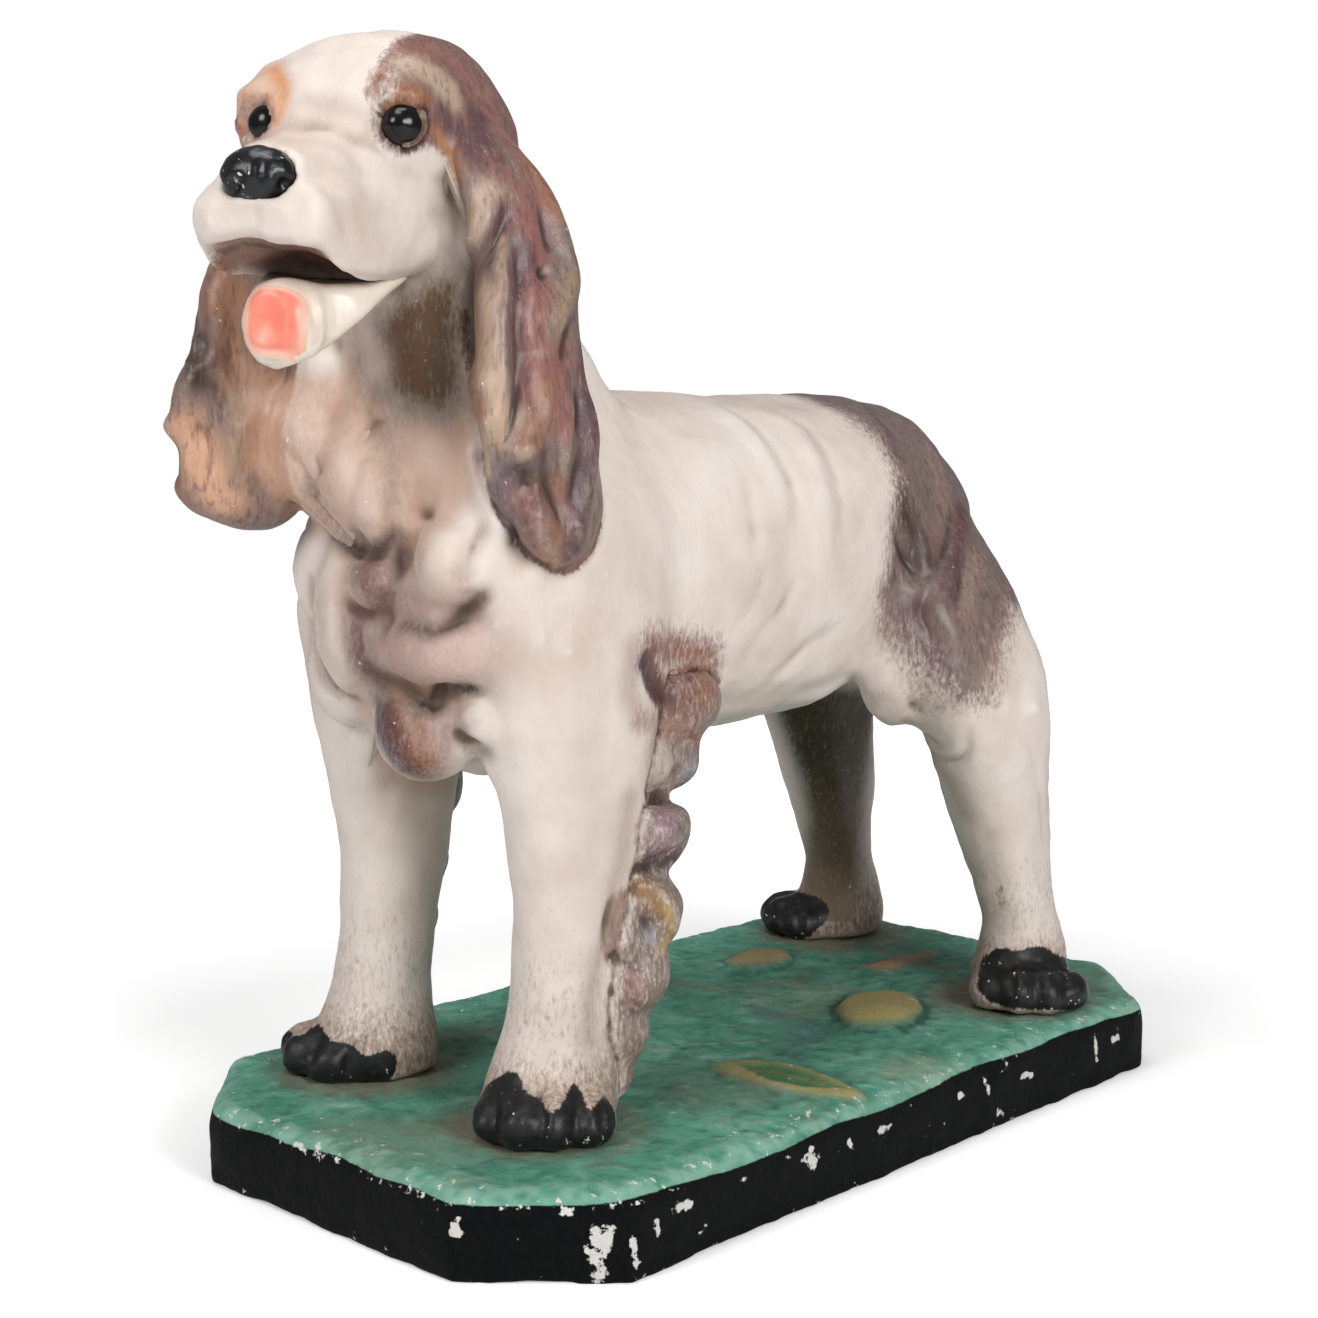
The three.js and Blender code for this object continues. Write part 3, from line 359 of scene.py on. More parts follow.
    def cut(self, name, kept):
        """A piece from the kept faces, closed at its cuts. It keeps the skin's shading, so no seam shows."""
        faces = [self.faces[face] for face in np.nonzero(kept)[0]]
        used, corners = np.unique(np.concatenate(faces), return_inverse=True)
        ends = np.cumsum([len(face) for face in faces])
        mesh = bpy.data.meshes.new(name)
        outlines = [outline.tolist() for outline in np.split(corners, ends[:-1])]
        mesh.from_pydata(self.points[used].tolist(), [], outlines)
        self.store(mesh, used)
        layer = mesh.attributes.new("whole", "FLOAT_VECTOR", "POINT")
        layer.data.foreach_set("vector", self.normals[used].astype(np.float32).ravel())
        shape = bmesh.new()
        shape.from_mesh(mesh)
        caps = shape.faces.layers.int.new("cap")
        rims = [edge for edge in shape.edges if edge.is_boundary]
        lids = bmesh.ops.holes_fill(shape, edges=rims, sides=0)["faces"]
        for face in bmesh.ops.poke(shape, faces=lids)["faces"]:
            face[caps] = 1
        for face in shape.faces:
            face.smooth = True
        piece = new_piece(name, shape)
        mesh = piece.data
        corner = read(mesh.loops, "vertex_index", kind=np.int32)
        length = read(mesh.polygons, "loop_total", kind=np.int32)
        own = np.repeat(read(mesh.attributes["cap"].data, "value", kind=np.int32) > 0, length)
        straight = np.repeat(read(mesh.polygons, "normal", 3), length, 0)
        whole = read(mesh.attributes["whole"].data, "vector", 3)
        mesh.normals_split_custom_set(np.where(own[:, None], straight, whole[corner]).tolist())
        for spare in ("whole", "cap"):
            mesh.attributes.remove(mesh.attributes[spare])
        return piece


# The dog's skin
LEGS = ("left_foreleg", "right_foreleg", "left_hindleg", "right_hindleg")
MAIN = ("torso", "head", "chest_ruff", *LEGS)
LOCKS = (
    "left_ear", "right_ear", "left_foreleg_feathering", "right_foreleg_feathering",
    "left_foreleg_elbow_tuft", "right_foreleg_elbow_tuft", "tail",
)
# Hair between the neck and the right ear, in millimetres: middle and half sizes
NECK_HAIR = [((-44, -252, 440), (22, 16, 30)), ((-50, -262, 405), (20, 16, 34))]
# Hair that ties the curls to the left foreleg
CURL_ROOTS = [
    ((87, -150, 196), (9, 9, 22)), ((87, -157, 166), (9, 9, 22)),
    ((86, -163, 138), (8, 9, 20)), ((85, -169, 112), (7, 8, 18)),
]
# Front of the left thigh
THIGH = [((68, 102, 264), (20, 36, 38))]
dog = Clay(
    "dog",
    [*MAIN, *LOCKS, "left_eye", "right_eye", *[leg + "_rod" for leg in LEGS]],
    grain=2.2 * MM,
    soften=5,
    extra=NECK_HAIR + CURL_ROOTS + THIGH,
    cut_below=TURF - 0.5 * MM,
)

# Which casting each point belongs to
LIMIT = 6 * MM
near_lock = np.zeros(len(dog.points), bool)
for lock in LOCKS:
    near_lock |= in_box(dog.points, lock, LIMIT)
to_main = np.min([dog.gap_to(casting, near_lock, LIMIT) for casting in MAIN], axis=0)
to_main[~near_lock] = 0
share = {lock: to_main - dog.gap_to(lock, near_lock, LIMIT) for lock in LOCKS}
share = {lock: dog.softened(values[:, None], 4)[:, 0] for lock, values in share.items()}
lead = np.max([*share.values()], axis=0)
owner = np.where(lead > 0, 1 + np.argmax([*share.values()], axis=0), 0)

# Facets of the solids are evened out: most on body and legs, less on chest, head, locks and paws
local = in_frame(HEAD, dog.points) / MM
above_neck = (dog.points - np.array(NECK_POINT)) @ np.array(NECK_WAY) / MM
in_head = ease(above_neck, 10, 45) * (1 - ease(local[:, 1], 60, 90))
in_lock = ease(lead / MM, -3, 1)
in_paw = 1 - ease(dog.points[:, 2] / MM, 85, 120)
in_ruff = ease(-dog.points[:, 1] / MM, 195, 225) * (dog.points[:, 2] > 0.25) * (1 - in_head)
fine = np.max([in_head, in_lock, in_paw, in_ruff], axis=0)
dog.fair(75, 1 - fine)
in_curls = np.max([ease(share[lock] / MM, -5.5, -1) for lock in LOCKS[2:6]], axis=0)
dog.fair(45, in_curls, keep=0.7)
dog.fair(28, 0.85 * in_ruff, keep=0.9)
dog.fair(16, np.maximum(0.8 * in_head * (local[:, 2] > -40), 0.7 * in_lock))
dog.fair(36, in_paw, keep=0.8)

# Creases where the locks lie on the rest, but none at the roots of the ears and of the curls
for lock in LOCKS:
    crease = np.exp(-((share[lock] / (2.5 * MM)) ** 2)) * (to_main < 5 * MM) * (np.abs(share[lock]) > 0)
    root = ease(dog.points[:, 2], 0.47, 0.52) if "ear" in lock else 0.75
    dog.points -= dog.normals * (crease * (1 - root) * 2.2 * MM)[:, None]
dog.settle()
# Roots of both ears, and the stop between the eyes
one_side = local * np.where(local[:, :1] > 0, 1, (-1, 1, 1))
dog.fair(75, soft_spot(one_side, (52, 52, 2), (30, 34, 34)), keep=0.7)
dog.fair(60, soft_spot(local, (0, -36, -6), (40, 24, 18)), keep=0.5)

# Skull, brows and hanging lips: spots of the head, their radii and their moves, in millimetres
PULLS = [
    ((39, -34, -54), (13, 22, 16), (2, 0, -7)),
    ((44, -8, -56), (13, 22, 16), (1, 0, -6)),
    ((-39, -34, -54), (13, 22, 16), (-2, 0, -7)),
    ((-44, -8, -56), (13, 22, 16), (-1, 0, -6)),
    ((28, -46, -54), (11, 15, 14), (0, 0, -3)),
    ((-3, -68, -54), (13, 16, 11), (0, 0, 7)),
    ((-46, 4, 6), (15, 22, 26), (-4, -1, 0)),
    ((-44, -6, 34), (14, 18, 14), (3, 3, -4)),
    ((-25, 10, 45), (26, 36, 22), (0, 0, -3)),
    ((32, 42, 42), (28, 40, 26), (2, 2, 4)),
]
for centre, radii, move in PULLS:
    dog.pull(HEAD, centre, radii, move)
dog.settle()
dog.fair(50, 0.9 * soft_spot(local, (-44, -2, 18), (16, 20, 20)), keep=0.4)
for size, height in ((40, 1.2), (12, 0.5), (5, 0.18)):
    dog.roughen(size, height)
dog.settle()

# Strokes on the skin: width and height in millimetres, the frame on whose other side they are repeated,
# and the line on the picture, as x and y in turn
STROKES = [
    # brow, stop, folds of the muzzle and cheek
    (8, 2.4, HEAD, 386,82, 402,66, 430,66, 452,84, 464,108),
    (12, -2.0, None, 338,52, 326,84, 316,112, 300,132),
    (5, -1.0, HEAD, 338,112, 354,144, 364,180, 374,214),
    (4, -1.6, HEAD, 318,184, 338,204, 348,236, 342,262),
    (9, 1.6, HEAD, 316,198, 326,216, 326,236),
    (7, -1.4, HEAD, 448,168, 440,204, 424,240, 402,268),
    (3.5, -1.6, None, 257,204, 254,218, 252,230),
    (3.5, 1.4, HEAD, 296,242, 321,255, 346,268, 372,270),
    (3, -2.2, None, 354,310, 380,300, 400,288, 404,278),
    (5, -2.0, None, 372,380, 366,410, 376,424),
    # curls of the ruff
    (13, 4.0, None, 352,462, 360,499, 366,526),
    (12, 4.0, None, 368,580, 371,594),
    (15, 4.5, None, 444,540, 438,570, 430,598),
    (8, 3.5, None, 471,580, 473,586),
    (13, 4.0, None, 392,648, 430,656, 478,650),
    (17, 4.0, None, 404,728, 406,752, 420,768),
    (11, 4.0, None, 466,706, 472,724),
    (11, 2.5, None, 300,430, 316,448),
    (9, 3.0, None, 330,600, 334,640, 344,676),
    # the hollows that part them
    (5, -5.5, None, 329,500, 340,530, 354,551, 376,554, 391,540, 391,500, 380,460),
    (5, -5.5, None, 399,531, 401,562, 391,599, 385,635),
    (5, -5.5, None, 406,622, 433,630, 459,617, 482,594),
    (5, -5.0, None, 342,590, 349,607, 367,617, 383,614),
    (5, -6.0, None, 359,669, 396,685, 427,701, 443,690, 469,688),
    (7, -5.0, None, 424,706, 434,702, 446,694),
    (5, -5.5, None, 451,724, 467,743, 485,750),
    (4, -3.5, None, 312,580, 314,625, 322,672, 341,695, 362,701),
    (5, -4.0, None, 482,531, 470,550, 461,573),
    (4, -2.5, None, 424,512, 440,522, 458,528),
    (3.5, -2.5, None, 318,460, 308,480, 322,500),
    (2.5, -2.5, None, 284,450, 300,466, 316,474, 326,462),
    (2.5, -2.5, None, 362,438, 374,424, 392,420),
    (7, 3.5, None, 502,622, 503,626),
    (6, 2.5, None, 566,650, 568,654),
    (6, 2.0, None, 540,640, 542,642),
    # ribs and folds of the flank and groin
    (9, 2.6, BODY, 697,400, 739,424, 764,456, 780,494, 783,526),
    (6, -2.3, BODY, 712,398, 752,424, 778,456, 793,494, 797,530),
    (9, 2.4, BODY, 764,411, 796,433, 815,465, 825,503, 825,551),
    (6, -2.2, BODY, 780,408, 812,433, 832,465, 842,503, 840,551),
    (6, -2.2, BODY, 745,470, 752,500, 756,540, 760,570),
    (5, -2.4, BODY, 799,570, 790,593, 770,625, 739,666),
    (5, -2.0, BODY, 770,560, 757,596, 735,632),
    (6, -3.2, BODY, 841,625, 809,647, 783,672, 764,692),
    # locks of the rump
    (6, -5.5, BODY, 895,519, 908,558, 927,583),
    (6, -5.5, BODY, 955,505, 949,545, 933,570),
    (5, -4.5, BODY, 968,545, 962,583, 955,606),
    (5, -4.5, BODY, 930,590, 922,612, 934,640),
    (9, 4.0, BODY, 908,478, 920,520, 926,560),
    (8, 3.5, BODY, 942,600, 952,630, 962,655),
    (7, 3.0, BODY, 940,556, 950,584, 946,600),
    # hollows and bumps of the hind leg
    (4, -3.6, None, 969,731, 962,758, 941,762, 926,748),
    (4, -3.0, None, 900,722, 924,738, 940,748),
    (4, -2.4, None, 908,700, 916,712),
    (3.5, -2.4, None, 982,708, 1000,706, 1004,694),
    (3.5, -2.0, None, 1030,738, 1041,793, 1044,841),
    (11, 4.5, None, 1030,700, 1032,718),
    (9, 5.0, None, 1050,780, 1054,826),
    (8, 2.6, None, 1058,866, 1060,900),
    # toes
    (3.0, -3.4, None, 497,1086, 494,1112, 490,1140),
    (3.0, -3.4, None, 541,1086, 541,1120, 540,1152),
    (3.0, -3.4, None, 578,1092, 578,1122, 576,1150),
    (3.0, -2.6, None, 602,1106, 605,1134),
    (3.0, -3.4, None, 290,1030, 278,1056, 270,1078),
    (3.0, -3.4, None, 320,1036, 308,1064, 302,1088),
    (3.0, -3.4, None, 352,1048, 348,1068, 346,1086),
    (3.0, -3.0, None, 1010,962, 1013,1000),
    (3.0, -3.0, None, 1037,962, 1037,1004),
    (3.0, -3.0, None, 1065,964, 1065,1002),
    (3.0, -3.0, None, 770,892, 764,928),
    (3.0, -3.0, None, 800,896, 798,936),
    # locks of the left ear, and their twins on the right one
    (7, 6.0, HEAD, 492,196, 478,232, 464,270, 461,310, 464,345, 476,382, 490,420, 498,446),
    (6, 4.0, HEAD, 503,260, 510,290, 506,330, 508,370, 506,410),
    (6, 4.5, HEAD, 536,168, 552,205, 566,250, 572,286, 560,318, 556,350),
    (6, 4.5, HEAD, 548,376, 546,410, 540,436),
    (8, 6.0, HEAD, 522,438, 524,452, 530,464),
    (6, 4.5, HEAD, 568,390, 569,423, 562,456, 556,480),
    (6, 4.5, HEAD, 590,400, 592,440, 586,490, 580,540),
    (7, 4.5, HEAD, 492,480, 494,510, 503,545),
    (7, 4.5, HEAD, 530,505, 538,530, 548,562),
    (6, 4.0, HEAD, 569,505, 572,530, 576,548),
    (5, 3.5, HEAD, 470,420, 476,466, 484,506),
    (4, -7.0, HEAD, 509,208, 500,232, 484,256, 474,272),
    (4.5, -9.0, HEAD, 518,244, 519,282, 514,318, 515,365, 515,408, 507,435, 499,452),
    (9, -3.5, HEAD, 492,275, 494,290),
    (4, -7.0, HEAD, 541,262, 545,272, 544,282),
    (4, -6.0, HEAD, 577,312, 567,341, 563,365),
    (3, -5.0, HEAD, 521,341, 527,376),
    (3, -4.5, HEAD, 531,345, 534,356),
    (8, -8.0, HEAD, 516,478, 528,484, 544,488),
    (4, -7.0, HEAD, 541,438, 550,476, 562,515, 566,545),
    (4, -6.0, HEAD, 580,385, 580,412, 571,445),
    (4, -6.0, HEAD, 582,450, 576,490, 570,520),
    (3.5, -3.0, HEAD, 508,490, 512,516, 514,540),
    (3, -4.0, HEAD, 522,500, 530,532),
    (3.5, -5.0, HEAD, 484,440, 480,470, 486,505),
    (3.5, -5.0, HEAD, 540,200, 548,235, 552,258),
    # what shows of the right ear
    (6, -6.0, None, 206,292, 200,340, 210,380, 226,404),
    (5, -5.0, None, 236,300, 230,350, 244,400),
    (8, 4.0, None, 212,262, 208,300, 214,330),
    (6, -5.0, None, 186,410, 208,440, 214,490),
    # curls down the foreleg, each rolled over a hollow
    (5, 3.0, BODY, 672,716, 692,730, 702,754, 702,776, 690,794),
    (6, -7.0, BODY, 684,764, 680,780, 682,796),
    (5, -5.0, BODY, 648,802, 664,794, 680,800),
    (8, 3.0, BODY, 664,824, 668,840),
    (5, -6.0, BODY, 632,870, 652,864, 678,852),
    (5, 4.0, BODY, 634,884, 656,888, 670,906, 673,928, 662,950),
    (6, -8.0, BODY, 636,916, 648,926, 653,942),
    (4, -5.0, BODY, 616,892, 610,920, 606,950),
    (4, -5.0, BODY, 608,954, 626,964, 644,962),
    (6, 4.0, BODY, 630,984, 640,998, 628,1012),
    # hollow behind the elbow
    (8, -3.0, BODY, 648,656, 654,680, 664,704),
    (6, 3.0, BODY, 676,650, 680,676, 672,700),
]
for width, height, side, *pixels in STROKES:
    line = dog.trace(pixels)
    dog.press(line, width, height)
    if side is not None and len(line):
        dog.press(dog.twin(line, side), width, height)
dog.settle()
dog.fair(4, np.ones(len(dog.points)))
dog.fair(16, 0.7 * ease(share["right_ear"] / MM, -3, 1))

# Roof of the open mouth, carved up into the muzzle
local = in_frame(HEAD, dog.points) / MM
way = dog.normals @ np.array(HEAD)[:3, :3]
across = np.clip(1 - (local[:, 0] / 34) ** 2, 0, 1)
along = ease(local[:, 1], -70, -56) * (1 - ease(local[:, 1], -6, 12))
under = ease(-way[:, 2], 0.2, 0.8) * (local[:, 2] < -40) * (local[:, 2] > -92)
roof = across * along * under
dog.points += np.array(HEAD)[:3, 2] * (roof * 15 * MM)[:, None]

# Eyes: a ball in a shallow socket, with a rim and a heavier upper lid
EYES = {"left_eye": Vector((41, -4, 0)), "right_eye": Vector((-31, -4, 0))}
EYE_RADIUS, SOCKET_RADIUS, SOCKET_REACH, RIM_RADIUS = 11.0, 10.0, 15, 12.2
GAZE_SIDE, GAZE_FRONT = 0.5, -0.86
rims = []
for centre in EYES.values():
    middle = np.array(HEAD @ (centre * MM))
    gap = dog.points - middle
    far = np.linalg.norm(gap, axis=1)
    ball = far < SOCKET_REACH * MM
    dog.points[ball] = middle + gap[ball] * (SOCKET_RADIUS * MM / far[ball])[:, None]
    dog.settle()
    out = Vector((math.copysign(GAZE_SIDE, centre.x), GAZE_FRONT, 0.05)).normalized()
    side = out.cross(Vector((0, 0, 1))).normalized()
    up = side.cross(out)
    ring = []
    for angle in np.linspace(0, 2 * math.pi, 40):
        spot = centre + (side * math.cos(angle) + up * math.sin(angle)) * RIM_RADIUS + out * 5
        ring.append(HEAD @ (spot * MM))
    rim = dog.lay(ring)
    dog.press(rim, 2.8, 2.0, ends=False)
    dog.press(rim[1:20], 3.2, 2.2)
    rims.append(rim)
dog.settle()

# Paint of the dog
MAUVE, PLUM, RUSSET, ROSE, OCHRE = "#835F58", "#604648", "#8E6654", "#8E605A", "#937C66"
TAUPE, SLATE, UMBER, TAN, GOLD = "#B09A88", "#7A6862", "#4A3A34", "#A88A70", "#A08450"
flat = on_picture(dog.points)
seen = dog.seen()
x, y, z = (dog.points / MM).T
local = in_frame(HEAD, dog.points) / MM
sideways = np.stack([y, z], 1)

# Rump patch, over both haunches and the tail, with a wide speckled fringe
RUMP_OUTLINE = [
    52,460, 66,428, 84,405, 86,385, 76,356, 68,332, 64,309, 80,284, 90,266, 103,247, 117,250, 134,275,
    160,300, 270,300, 270,470,
]
rump = depth_inside(sideways, RUMP_OUTLINE)
dog.fill("cover", rump + 3, 24, 1.0, 1.0, "#7C6664")
dog.fill("cover", rump - 12, 10, 1.0, 1.0, SLATE)
RUMP_STREAKS = [
    (UMBER, 10, 0.7, 900,500, 912,530, 926,562), ("#8A746A", 8, 0.7, 936,470, 946,505, 944,545),
    (PLUM, 8, 0.8, 962,510, 958,550, 950,590), (RUSSET, 4, 0.35, 930,520, 938,550),
    ("#8A746A", 7, 0.6, 975,560, 968,600, 962,640), (PLUM, 9, 0.8, 920,610, 936,640, 950,664),
    (SLATE, 9, 0.8, 940,620, 958,650, 966,676), (PLUM, 5, 0.4, 860,400, 886,430, 900,460),
]
dog.brush_lines("cover", RUMP_STREAKS)

# Crown patch from the brow to the ear, on both sides
CROWN_OUTLINE = [
    -10,32, 4,42, 28,52, 90,70, 120,0, 70,-36, 44,-52, 34,-34, 30,-24, 17,-14, 6,-8, -6,-13, -13,-8, -14,2,
    -14,12, -12,20,
]
crown = depth_inside(local[:, 1:], CROWN_OUTLINE)
outer = ease(np.abs(local[:, 0]), 22, 34)
above = z > 470
dog.fill("cover", crown, 5, 1.0, outer * above * (local[:, 0] > 0), MAUVE)
dog.fill("cover", crown - 16, 6, 1.0, outer * above * (local[:, 0] < 0), MAUVE)

# Ears, curls and tail
LOCK_PAINT = {
    "ear": (1.0, MAUVE), "tail": (1.0, SLATE), "tuft": (0.75, "#8A6862"), "feathering": (0.45, "#97807A"),
}
for lock in LOCKS:
    own = ease(share[lock] / MM, -1.5, 1.0)
    amount, code = next(paint for kind, paint in LOCK_PAINT.items() if kind in lock)
    dog.fill("cover", own - 0.5, 0.5, amount, 1.0, code)
HAIR_STREAKS = [
    # crown
    (RUSSET, 6, 0.8, 374,90, 384,68, 404,56, 430,54), (TAUPE, 7, 0.9, 406,66, 430,74, 450,92),
    (ROSE, 8, 0.6, 452,62, 474,84, 490,112), (PLUM, 6, 0.8, 444,112, 456,132, 470,150),
    (TAUPE, 5, 0.7, 440,84, 456,104), (RUSSET, 5, 0.6, 448,150, 460,166),
    # left ear from the top down
    (PLUM, 9, 0.8, 478,120, 486,146, 492,168), (ROSE, 9, 0.8, 504,130, 530,164, 544,196),
    (RUSSET, 6, 0.8, 528,160, 546,190, 556,214), (MAUVE, 8, 0.8, 500,170, 524,200, 540,240),
    (TAUPE, 9, 1.0, 490,196, 480,224, 470,254), (OCHRE, 3, 0.7, 474,206, 466,244),
    (PLUM, 7, 0.9, 504,214, 494,240, 484,262), (ROSE, 7, 0.7, 524,214, 536,240, 540,262),
    # the grey-plum streak from 478,264 to 480,302 is a painted sheen on a shiny lock
    ("#6B595C", 8, 0.9, 478,264, 476,284, 480,302), (OCHRE, 4, 0.8, 500,244, 502,270, 498,294),
    ("#C4A894", 12, 1.0, 480,310, 482,340, 490,380, 496,416), (RUSSET, 4, 0.8, 464,316, 468,360, 480,410),
    (PLUM, 8, 0.9, 522,260, 520,300, 522,350, 524,390), (ROSE, 8, 0.8, 540,290, 536,330, 540,380),
    (OCHRE, 6, 0.7, 572,284, 566,306, 560,334), (PLUM, 6, 0.9, 584,290, 584,330, 582,370),
    (ROSE, 8, 0.8, 560,350, 558,390, 566,430), (PLUM, 7, 0.9, 590,390, 590,430, 588,470),
    (RUSSET, 8, 0.8, 546,390, 540,420, 530,446), (TAN, 3, 0.6, 494,424, 498,442),
    (ROSE, 6, 0.8, 474,400, 480,450, 486,500), (UMBER, 9, 1.0, 516,478, 530,484, 544,488),
    ("#6E5C62", 8, 0.9, 500,480, 508,520, 516,550), (MAUVE, 8, 0.9, 524,500, 536,530, 546,560),
    (RUSSET, 9, 0.9, 556,490, 562,520, 560,556), (PLUM, 7, 0.9, 578,500, 578,530, 572,552),
    (OCHRE, 4, 0.7, 548,548, 556,566), (TAUPE, 5, 0.7, 486,440, 488,470),
    # right ear
    (RUSSET, 10, 0.9, 228,256, 222,280, 214,300), (UMBER, 8, 0.8, 196,300, 192,340, 196,376),
    ("#A2765E", 10, 0.9, 234,300, 236,340, 240,376), ("#C6997E", 13, 0.9, 186,430, 206,470, 224,500),
    (OCHRE, 6, 0.7, 238,400, 240,440, 236,480), (RUSSET, 5, 0.8, 178,480, 186,512, 206,524),
    ("#A27C64", 12, 0.9, 252,376, 262,410, 262,450), (OCHRE, 5, 0.7, 262,396, 268,430, 266,470),
    # curls of the foreleg
    ("#C9BBAE", 12, 0.5, 650,750, 662,772, 652,790), (MAUVE, 5, 0.9, 682,722, 700,744, 705,768),
    ("#8F8890", 5, 0.9, 690,770, 688,790), ("#8A7075", 9, 0.8, 660,810, 668,834, 664,850),
    (UMBER, 5, 0.9, 636,868, 656,864, 676,856), ("#8A6A48", 7, 0.9, 634,886, 652,896, 660,912),
    (GOLD, 3, 0.9, 668,908, 670,930, 660,948), ("#8A8488", 4, 0.9, 646,926, 652,940),
    ("#8A6C60", 7, 0.9, 622,900, 614,930, 610,950), (MAUVE, 7, 0.8, 634,984, 638,1002),
]
dog.brush_lines("cover", HAIR_STREAKS)

# No paint on the chest beside the left ear, nor on the nape behind the ears
beside_ear = (1 - ease(share["left_ear"] / MM, -2.5, -0.5)) * (y < -150) * (x > 0)
beside_ear *= ease(z, 320, 340) * (1 - ease(z, 425, 445))
dog.values["cover"] *= 1 - beside_ear
nape = ease(local[:, 1], 40, 50) * (1 - ease(local[:, 2], -66, -54)) * (1 - in_lock) * (z > 330) * (y < -60)
dog.values["cover"] *= 1 - nape

# Throat and ruff: tan and mauve glazes over the cream, a painted shadow under the jaw, painted shade darkest
# in the hollows, and two pale glazes of painted light
BIB_OUTLINE = [
    246,377, 334,372, 362,330, 404,284, 470,292, 476,486, 456,526, 480,590, 478,690, 446,790, 384,784,
    352,700, 330,640, 326,536, 296,524, 258,474,
]
bib = depth_inside(flat, BIB_OUTLINE)
dog.fill("glaze", bib, 18, 0.78, seen * (z < 520), "#B28C76")
# a painted shadow under the jaw, dark brown on the throat
JAW_SHADOW_OUTLINE = [
    352,346, 380,306, 412,280, 440,268, 470,262, 474,392, 446,424, 404,414, 372,388,
]
jaw_shadow = depth_inside(flat, JAW_SHADOW_OUTLINE)
dog.fill("glaze", jaw_shadow, 36, 1.12, seen * (z < 520), "#5A432E")
CHEST_GLAZES = [
    # the pale glaze from 362,336 to 376,366 is a painted highlight below the mouth corner
    ("#B7A39A", 9, 0.8, 362,336, 372,350, 376,366), ("#B89A88", 13, 0.8, 300,420, 318,430),
    ("#C9AF9E", 10, 0.7, 350,470, 362,510), ("#D6C6B8", 13, 0.8, 444,545, 440,570),
    # the pale glaze from 436,456 to 440,500 is painted light over a shaded place of the upper chest
    ("#CFAE9C", 14, 0.8, 436,456, 442,480, 440,500), ("#B08E85", 24, 0.68, 390,642, 430,652, 466,650),
    ("#B2968A", 16, 0.6, 420,592, 446,600, 424,612), ("#7C5C56", 17, 1.05, 364,568, 372,590, 384,606),
    ("#5C3A30", 24, 1.06, 388,714, 398,744, 414,764), ("#C3B3A2", 16, 0.5, 326,570, 322,620, 334,660),
    ("#7E4E38", 11, 0.9, 416,716, 424,738, 428,756),
    # hollows, glazed dark as painted shade
    ("#8A6C58", 6, 0.7, 376,426, 390,450, 392,500), ("#4F3B34", 6, 1.1, 340,536, 356,548, 380,550, 390,538),
    ("#7A6058", 7, 0.75, 396,540, 398,570, 390,600, 386,632),
    ("#6A524C", 7, 1.0, 406,624, 433,632, 459,620, 480,596),
    ("#6A504C", 10, 1.05, 356,630, 362,660, 384,682), ("#523840", 8, 1.0, 378,708, 382,738, 394,760),
    ("#8A664A", 7, 0.8, 400,694, 410,702), ("#3E2E28", 7, 1.1, 424,704, 438,700, 456,690, 470,688),
    ("#6A524C", 6, 0.75, 446,722, 466,746, 486,752), ("#8A6E60", 8, 0.6, 446,690, 456,706, 452,722),
    ("#7E6454", 5, 0.7, 318,466, 310,484, 324,502), ("#8E7868", 4, 0.6, 312,580, 314,625, 322,672, 341,695),
    ("#8E7868", 5, 0.6, 482,531, 470,550, 462,573),
    # edge of the foreleg beside the curls
    ("#A88A7A", 8, 0.6, 632,650, 630,690, 640,720),
    ("#A08878", 7, 0.65, 630,800, 624,850, 608,910, 598,960),
    ("#A08878", 6, 0.6, 598,960, 590,1000, 588,1040),
]
dog.brush_lines("glaze", CHEST_GLAZES)
LEG_STREAKS = [
    # behind the elbow
    ("#8A6050", 15, 0.72, 652,646, 680,650, 706,656), ("#6E4C44", 11, 0.95, 646,660, 656,686, 668,702),
    ("#8A6050", 13, 0.66, 704,656, 712,672, 700,694), ("#4A363A", 6, 0.95, 642,664, 648,684, 656,700),
    ("#9A7868", 9, 0.55, 640,720, 660,724, 676,732),
    # hocks
    ("#9A7A6C", 4, 0.6, 1000,888, 1002,902), ("#A08C7C", 8, 0.5, 1010,640, 1000,664, 990,680),
]
dog.brush_lines("cover", LEG_STREAKS)

# Dirt and painted shade on the right hind leg and under the left thigh
SHADE_OUTLINE = [
    764,686, 884,686, 874,740, 866,800, 862,860, 850,926, 796,934, 800,860, 808,820, 800,780, 784,740,
]
shade = depth_inside(flat, SHADE_OUTLINE)
dog.fill("glaze", shade, 14, 1.1, seen * (x < 0) * (z > 60), "#3E3220")
THIGH_EDGE = [884,700, 920,742, 950,780, 966,812]
dog.brush("glaze", dog.trace(THIGH_EDGE), 9, 0.5, "#85735F")

# Orange glaze over the right brow and round the left eye, dark rims of the eyes, brown roof of the mouth
BROW_OUTLINE = [284,62, 284,92, 286,108, 276,132, 262,142, 232,142, 230,84, 254,60]
brow = depth_inside(flat, BROW_OUTLINE)
dog.fill("glaze", brow, 8, 0.8, ease(-local[:, 0], 4, 14) * above, "#C6A188")
FACE_GLAZES = [
    ("#C47A38", 5, 0.9, 274,68, 283,84, 284,102, 276,120), ("#C06A3C", 5, 0.9, 238,86, 235,110, 240,132),
    ("#C47A38", 4, 0.8, 244,98, 258,96, 272,102), ("#6A4430", 2.4, 0.8, 246,108, 256,103, 268,108),
    ("#A8692F", 4, 0.9, 388,108, 402,97, 424,100), ("#A8744C", 3.2, 0.6, 434,130, 442,142, 450,154),
    ("#D8CCBF", 8, 0.7, 300,112, 330,118, 356,126),
]
